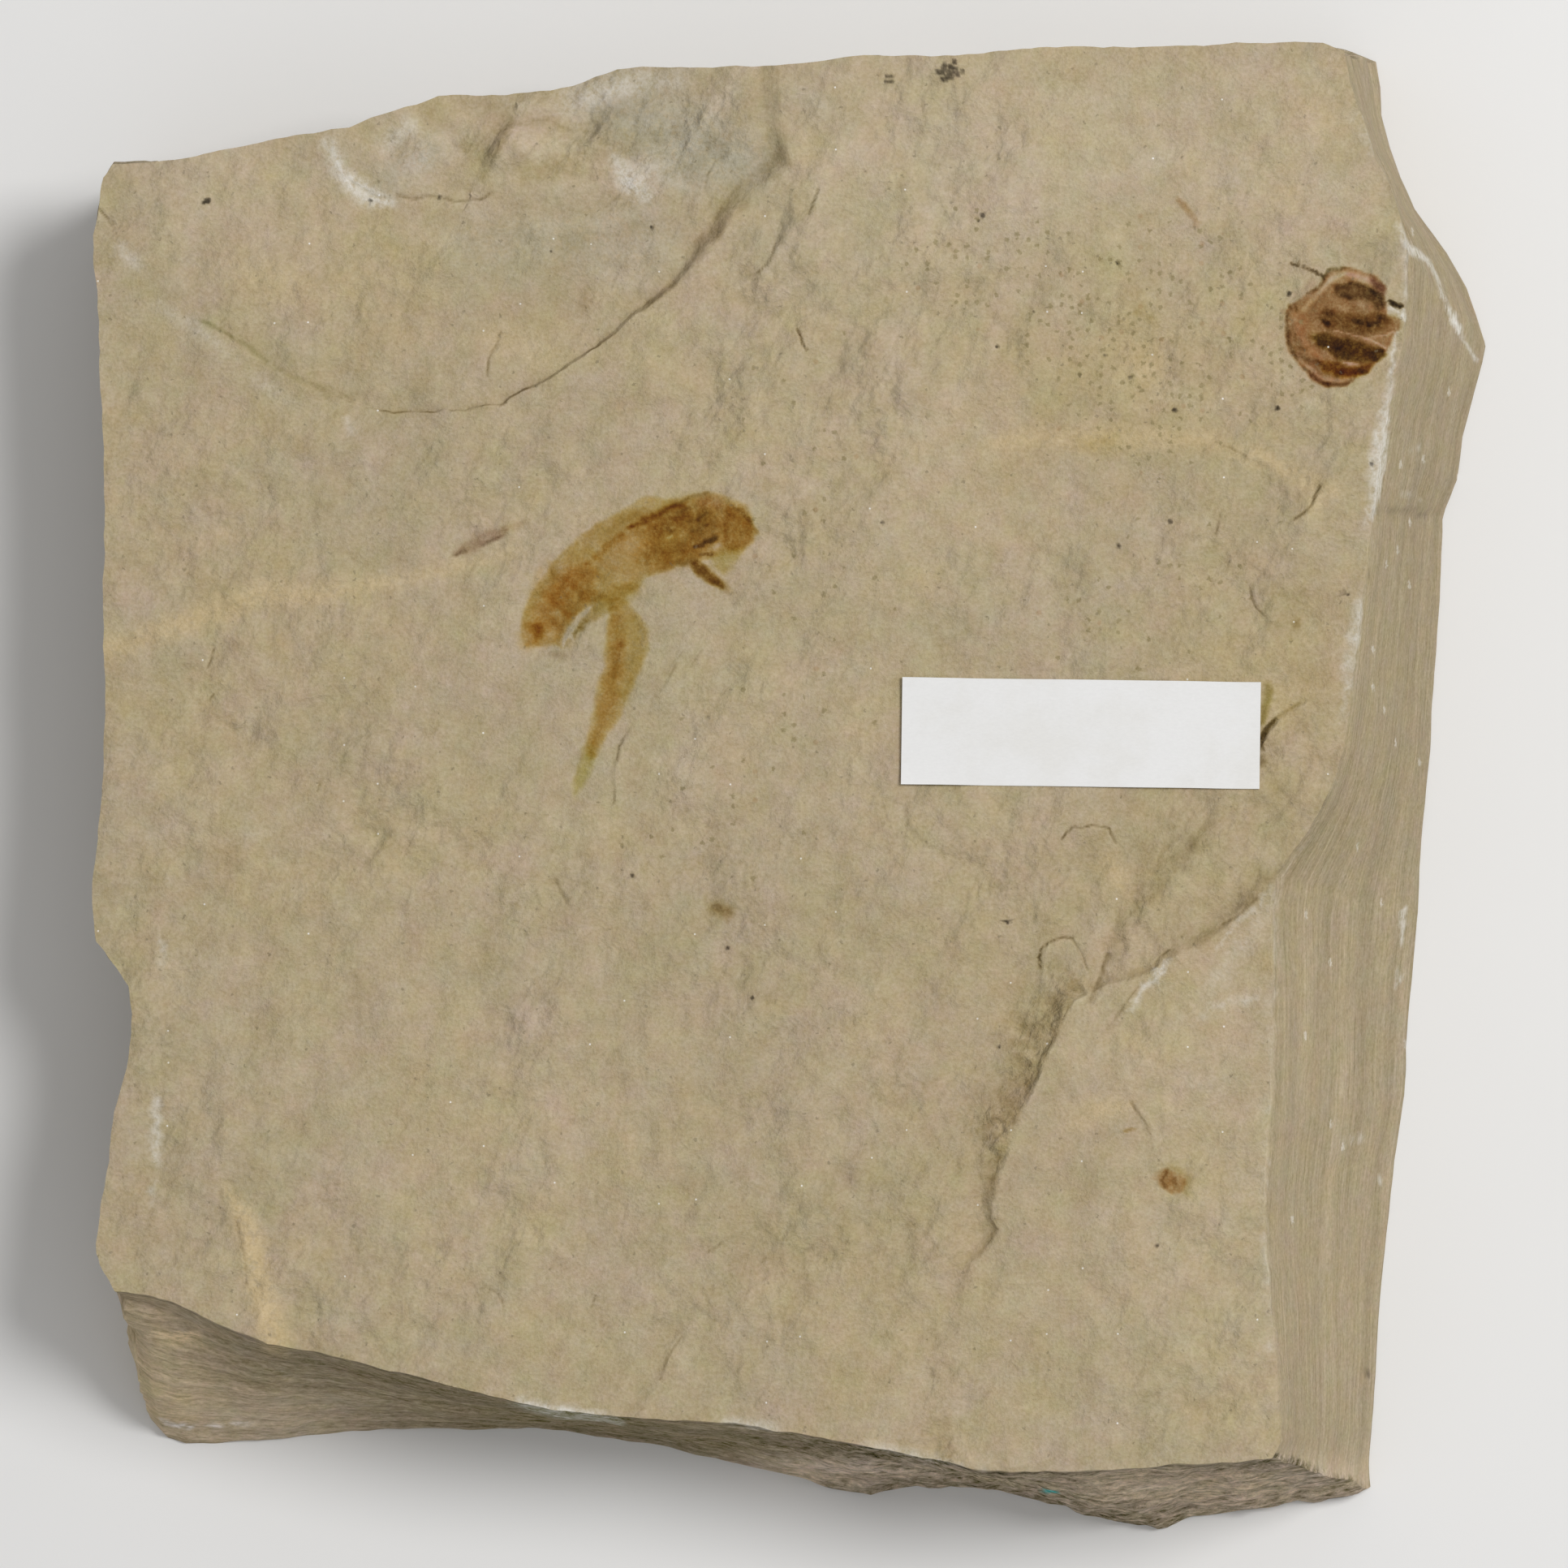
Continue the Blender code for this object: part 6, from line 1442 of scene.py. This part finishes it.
def shale_material():
    """Tan shale: mottled and grainy on the bedding plane, finely banded on the broken sides."""
    nodes = Nodes("shale_stone")
    place = nodes.millimetres()
    side, torn, rugged = (nodes.attribute(name) for name in ("side", "torn", "rugged"))
    on_top = nodes.math("SUBTRACT", 1.0, side)
    turned = nodes.add("ShaderNodeMapping", place, None,
                       (0.0, 0.0, -math.radians(STREAK_ANGLE))).outputs[0]

    # The bedding plane's colour, and how light it is
    blotch = nodes.noise(nodes.scaled(turned, (0.6, 1.0, 1.0)), 5.0, 3.0, 0.5)
    mottle = nodes.noise(place, 0.75, 3.0, 0.65)
    grain = nodes.noise(place, 0.24, 2.0, 0.6)
    cloth = nodes.noise(nodes.moved(place, (9.0, 4.0, 2.0)), 2.0, 4.0, 0.65)
    greenish = (0.407, 0.336, 0.208, 1.0)
    tan = (0.437, 0.354, 0.216, 1.0)
    rosy = (0.447, 0.352, 0.246, 1.0)
    broad = nodes.spread(nodes.noise(place, 16.0, 3.0, 0.5), 0.35, 0.65)
    stone = nodes.mix("MIX", broad, greenish, tan)
    stone = nodes.mix("MIX", nodes.spread(blotch, 0.4, 0.62, 0.0, 0.5), stone, rosy)
    shade = nodes.plus(nodes.spread(mottle, 0.2, 0.8, 0.93, 1.07, False),
                       nodes.spread(grain, 0.2, 0.8, -0.155, 0.155, False))
    # The washes, partly painted light, and painted shade in hollows with painted light on what
    # stands out
    for more in (nodes.attribute("lighter"), nodes.spread(cloth, 0.3, 0.7, -0.08, 0.08, False),
                 nodes.spread(nodes.attribute("relief_shade"), -0.12, 0.12, -0.11, 0.09, False)):
        shade = nodes.plus(shade, more)

    # The same of the broken sides: beds, hair lines, dashes and crumbs
    bands = nodes.noise(nodes.scaled(place, (0.025, 0.025, 1.0)), 1.4, 4.0, 0.64)
    hair = nodes.noise(nodes.scaled(place, (0.013, 0.013, 1.0)), 0.2, 2.0, 0.6)
    crumb = nodes.noise(nodes.scaled(place, (0.65, 0.8, 1.5)), 0.7, 5.0, 0.72)
    flecks = nodes.noise(nodes.scaled(place, (0.45, 0.45, 1.8)), 0.42, 4.0, 0.7)
    dark_bed = (0.3, 0.242, 0.155, 1.0)
    light_bed = (0.455, 0.37, 0.242, 1.0)
    even_bed = (0.368, 0.297, 0.188, 1.0)
    beds = nodes.mix("MIX", nodes.spread(bands, 0.35, 0.68), dark_bed, light_bed)
    beds = nodes.mix("MIX", nodes.spread(rugged, 0.0, 1.0, 0.36, 0.6, False), even_bed, beds)
    lines = nodes.times(nodes.spread(hair, 0.3, 0.7, -0.22, 0.22, False),
                        nodes.spread(blotch, 0.35, 0.65, 0.15, 0.75, False))
    dashes = nodes.times(nodes.centred(flecks),
                         nodes.spread(rugged, 0.0, 1.0, 0.65, 2.3, False))
    side_shade = nodes.plus(dashes, 1.0)
    # The sides' washes carry painted light and shade, and the relief adds painted shade where it
    # lies back
    for more in (lines, nodes.spread(grain, 0.2, 0.8, -0.15, 0.15, False),
                 nodes.attribute("lighter"),
                 nodes.spread(nodes.attribute("relief_shade"), -0.15, 0.15, -0.24, 0.18, False)):
        side_shade = nodes.plus(side_shade, more)
    crumble = nodes.times(nodes.centred(crumb), torn)
    side_shade = nodes.math("MULTIPLY_ADD", crumble, 6.0, side_shade)
    shade = nodes.math("MULTIPLY_ADD", crumble, 1.2, shade)

    # Both together; a lighter place is bluer too, and the noise shifts its hue a little
    stone = nodes.mix("MIX", side, stone, beds)
    stone = nodes.mix("MULTIPLY", nodes.attribute("yellower"), stone, (1.0, 0.975, 0.83, 1.0))
    shade = nodes.moved(nodes.scaled(shade, (0.88, 1.0, 1.45)), (0.12, 0.0, -0.45))
    side_shade = nodes.moved(nodes.scaled(side_shade, (1.0, 1.0, 1.35)), (0.0, 0.0, -0.35))
    shade = nodes.mix("MIX", side, shade, side_shade)
    hue = nodes.noise(place, 2.5, 4.0, 0.75, "Color")
    tinge = nodes.moved(nodes.scaled(hue, (0.17, 0.17, 0.42)), (0.915, 0.915, 0.79))
    stone = nodes.mix("MULTIPLY", 1.0, stone, tinge)

    # Tints lie on the stone in broken patches; some pale ones are painted highlight and the grey
    # ones partly painted shade
    broken = nodes.spread(nodes.noise(place, 0.5, 3.0, 0.6), 0.32, 0.55, 0.45, 1.25)
    broken = nodes.blend(side, broken, nodes.spread(flecks, 0.32, 0.54, 0.35, 1.5))
    tints = (("ochre", (0.565, 0.432, 0.236, 1.0)), ("grey", (0.345, 0.325, 0.25, 1.0)),
             ("pale", (0.66, 0.63, 0.56, 1.0)), ("turquoise", (0.06, 0.42, 0.36, 1.0)))
    for name, colour in tints:
        strength = nodes.math("MULTIPLY", nodes.attribute(name), broken, clamp=True)
        stone = nodes.mix("MIX", strength, stone, colour)

    # Stains dye it: each takes away its share of the light, more where it is thicker. The black
    # one also carries the painted shade of steps, cracks and crevices.
    thick = nodes.spread(nodes.noise(place, 0.9, 4.0, 0.65), 0.28, 0.72, 0.52, 1.48, False)
    fine = nodes.spread(nodes.noise(place, 0.2, 2.0, 0.6), 0.25, 0.75, -0.28, 0.28, False)
    patchy = nodes.plus(thick, fine)
    stains = (("brown", (0.815, 0.66, 0.345, 1.0)), ("black", (0.42, 0.41, 0.4, 1.0)),
              ("rose", (0.905, 0.607, 0.638, 1.0)), ("olive", (0.77, 0.81, 0.42, 1.0)))
    for name, colour in stains:
        strength = nodes.times(nodes.attribute(name), patchy)
        filtered = nodes.add("ShaderNodeGamma", colour, strength).outputs[0]
        stone = nodes.mix("MULTIPLY", 1.0, stone, filtered)

    # Grains, in this order: (place, spacing, radius, share of the cells, strength, colour)
    freckle = nodes.attribute("freckle")
    warp = nodes.noise(place, 0.25, 2.0, 0.5, "Color")
    crumbs = nodes.moved(nodes.scaled(warp, (0.5, 0.5, 0.0)), place)
    pits = nodes.math("MULTIPLY_ADD", freckle, 0.35, nodes.times(on_top, 0.07))
    even_side = nodes.times(side, nodes.math("SUBTRACT", 1.0, rugged))
    for grains in (
            (crumbs, 0.75, 0.17, nodes.times(freckle, 0.75), 0.6, (0.22, 0.175, 0.075, 1.0)),
            (nodes.moved(place, (3.1, 8.7, 0.0)), 1.5, 0.2, nodes.times(freckle, 0.25), 0.35,
             (0.33, 0.19, 0.085, 1.0)),
            (nodes.moved(crumbs, (7.3, 2.9, 0.0)), 0.9, 0.1, pits, 0.45, (0.15, 0.12, 0.07, 1.0)),
            (nodes.scaled(crumbs, (1.0, 0.35, 1.0)), 1.0, 0.12, nodes.times(even_side, 0.09), 0.5,
             (0.68, 0.64, 0.56, 1.0)),
            # Painted glints: tiny white sparkles on the bedding plane
            (nodes.moved(place, (31.0, 17.0, 0.0)), 2.6, 0.07, nodes.times(on_top, 0.08), 0.75,
             (0.85, 0.83, 0.78, 1.0))):
        stone = nodes.speckled(stone, *grains)

    # Relief too fine for the mesh
    rough = nodes.noise(nodes.scaled(turned, (0.75, 1.0, 1.0)), 4.0, 3.0, 0.51)
    chips = nodes.noise(nodes.scaled(turned, (0.7, 1.0, 1.0)), 1.6, 4.0, 0.55)
    swell = nodes.noise(nodes.moved(place, (40.0, 12.0, 3.0)), 11.0, 2.0)
    uneven = nodes.math("MULTIPLY_ADD", torn, 1.3, nodes.spread(swell, 0.35, 0.65, 0.5, 1.2))
    hackle = nodes.times(nodes.math("ABSOLUTE", nodes.centred(chips)), torn)
    relief = nodes.times(nodes.times(nodes.centred(rough), 9.3), uneven)
    relief = nodes.plus(relief, nodes.times(hackle, -4.0))
    relief = nodes.math("MULTIPLY_ADD", nodes.centred(grain), 0.45, relief)
    side_relief = nodes.plus(dashes, nodes.times(nodes.centred(hair), 0.6))
    side_relief = nodes.math("MULTIPLY_ADD", crumble, 5.0, side_relief)
    nodes.shader.inputs["Specular IOR Level"].default_value = 0.25
    return nodes.finish(nodes.scaled(stone, shade), 0.93, nodes.blend(side, relief, side_relief),
                        depth=0.17)


slab.data.materials.append(shale_material())
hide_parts("slab")
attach(slab, "root")


# The label: a strip of plain white paper, cut from a flat sheet and glued on the bedding plane. It
# is bare. Its four corners are a little lifted, and its long edges aren't quite straight.
LABEL_THICKNESS = 0.14
LABEL_TURN = -0.8
LABEL_LIFT = 0.07
LABEL_CELLS = (66, 20)
CORNER_LIFT = 0.12
CUT_WAVER = 0.03
PAPER_WAVES = 0.025


def make_label():
    """The paper strip, laid on the stone."""
    bpy.ops.object.select_all(action="DESELECT")
    centre = Vector((LABEL_PLACE[0], LABEL_PLACE[1] + DRAWING_SHIFT_Y, SLAB_THICKNESS)) * MM
    bpy.ops.mesh.primitive_grid_add(x_subdivisions=LABEL_CELLS[0], y_subdivisions=LABEL_CELLS[1],
                                    size=1.0)
    piece = bpy.context.object
    piece.name = "paper_label"
    piece.data.name = "paper_label"
    bpy.ops.object.mode_set(mode="EDIT")
    bpy.ops.mesh.select_all(action="SELECT")
    bpy.ops.mesh.extrude_region_move(TRANSFORM_OT_translate={"value": (0.0, 0.0, 1.0)})
    bpy.ops.mesh.select_all(action="SELECT")
    bpy.ops.mesh.normals_make_consistent(inside=False)
    bpy.ops.object.mode_set(mode="OBJECT")
    turn = math.radians(LABEL_TURN)
    for vertex in piece.data.vertices:
        u, v, is_top = vertex.co.x, vertex.co.y, vertex.co.z > 0.5
        corner = (abs(2 * u) ** 6) * (abs(2 * v) ** 3)
        x, y = u * LABEL_LENGTH, v * LABEL_WIDTH
        y += CUT_WAVER * noise.noise(Vector((x / 5.0, 0.0, v * 9.0)))
        lift = LABEL_LIFT + CORNER_LIFT * corner
        lift += PAPER_WAVES * noise.noise(Vector((x / 6.0, y / 4.0, 3.0)))
        lift += LABEL_THICKNESS if is_top else 0.0
        offset = Vector((x * math.cos(turn) - y * math.sin(turn),
                         x * math.sin(turn) + y * math.cos(turn), lift))
        vertex.co = centre + offset * MM
    bpy.ops.object.shade_smooth_by_angle(angle=math.radians(40.0))
    return piece


def paper_material():
    """Matt white paper with fine fibres and faint stains."""
    nodes = Nodes("label_paper")
    place = nodes.millimetres()
    cloud = nodes.noise(place, 5.0, 3.0, 0.6)
    fibre = nodes.noise(nodes.scaled(place, (1.0, 2.2, 1.0)), 0.35, 4.0, 0.7)
    paper = nodes.mix("MIX", nodes.spread(cloud, 0.4, 0.7), (0.775, 0.77, 0.76, 1.0),
                      (0.745, 0.735, 0.71, 1.0))
    shade = nodes.spread(fibre, 0.25, 0.75, 0.965, 1.025, False)
    return nodes.finish(nodes.scaled(paper, shade), 0.7, fibre, 0.4, 0.02)


label = make_label()
label.data.materials.append(paper_material())
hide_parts("label")
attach(label, "root")


# The floor: a plain pale table top that the slab lies on. It isn't part of the object.
bpy.ops.mesh.primitive_plane_add(size=1.6, location=(0.0, 0.0, 0.0))
floor = bpy.context.object
floor.name = "table_top"
floor_nodes = Nodes("pale_table")
floor_place = floor_nodes.add("ShaderNodeTexCoord").outputs["Object"]
floor_noise = floor_nodes.noise(floor_place, 0.02, 2.0, 0.5)
floor_colour = floor_nodes.mix("MIX", floor_noise, (0.78, 0.775, 0.765, 1.0),
                               (0.8, 0.795, 0.785, 1.0))
floor.data.materials.append(floor_nodes.finish(floor_colour, 0.9))

# The light: an even pale surround and one large soft lamp from the back right.
scene = bpy.context.scene
scene.view_settings.view_transform = "Standard"
world = bpy.data.worlds.new("studio")
scene.world = world
world.use_nodes = True
surround = world.node_tree.nodes["Background"]
surround.inputs["Color"].default_value = (1.0, 1.0, 1.0, 1.0)
surround.inputs["Strength"].default_value = 0.46
lamp_way = Vector((0.5, 0.27, 0.82)).normalized()
lamp_distance = 0.95
bpy.ops.object.light_add(type="AREA", location=lamp_way * lamp_distance)
lamp = bpy.context.object
lamp.name = "soft_lamp"
lamp.data.shape = "DISK"
lamp.data.size = 0.4
lamp.data.energy = 5.9
lamp.rotation_euler = lamp_way.to_track_quat("Z", "Y").to_euler()

# The camera: straight above the slab, as in the photograph. The width is that of the picture at
# the bedding plane.
CAMERA_DISTANCE = 900.0
PICTURE_WIDTH = 115.92
bpy.ops.object.camera_add(location=Vector((-0.945, 0.44, SLAB_THICKNESS + CAMERA_DISTANCE)) * MM)
camera = bpy.context.object
camera.name = "camera"
camera.rotation_euler = (0.0, 0.0, 0.0)
camera.data.sensor_width = 36.0
camera.data.lens = camera.data.sensor_width * CAMERA_DISTANCE / PICTURE_WIDTH
camera.data.clip_start = 0.01
scene.camera = camera
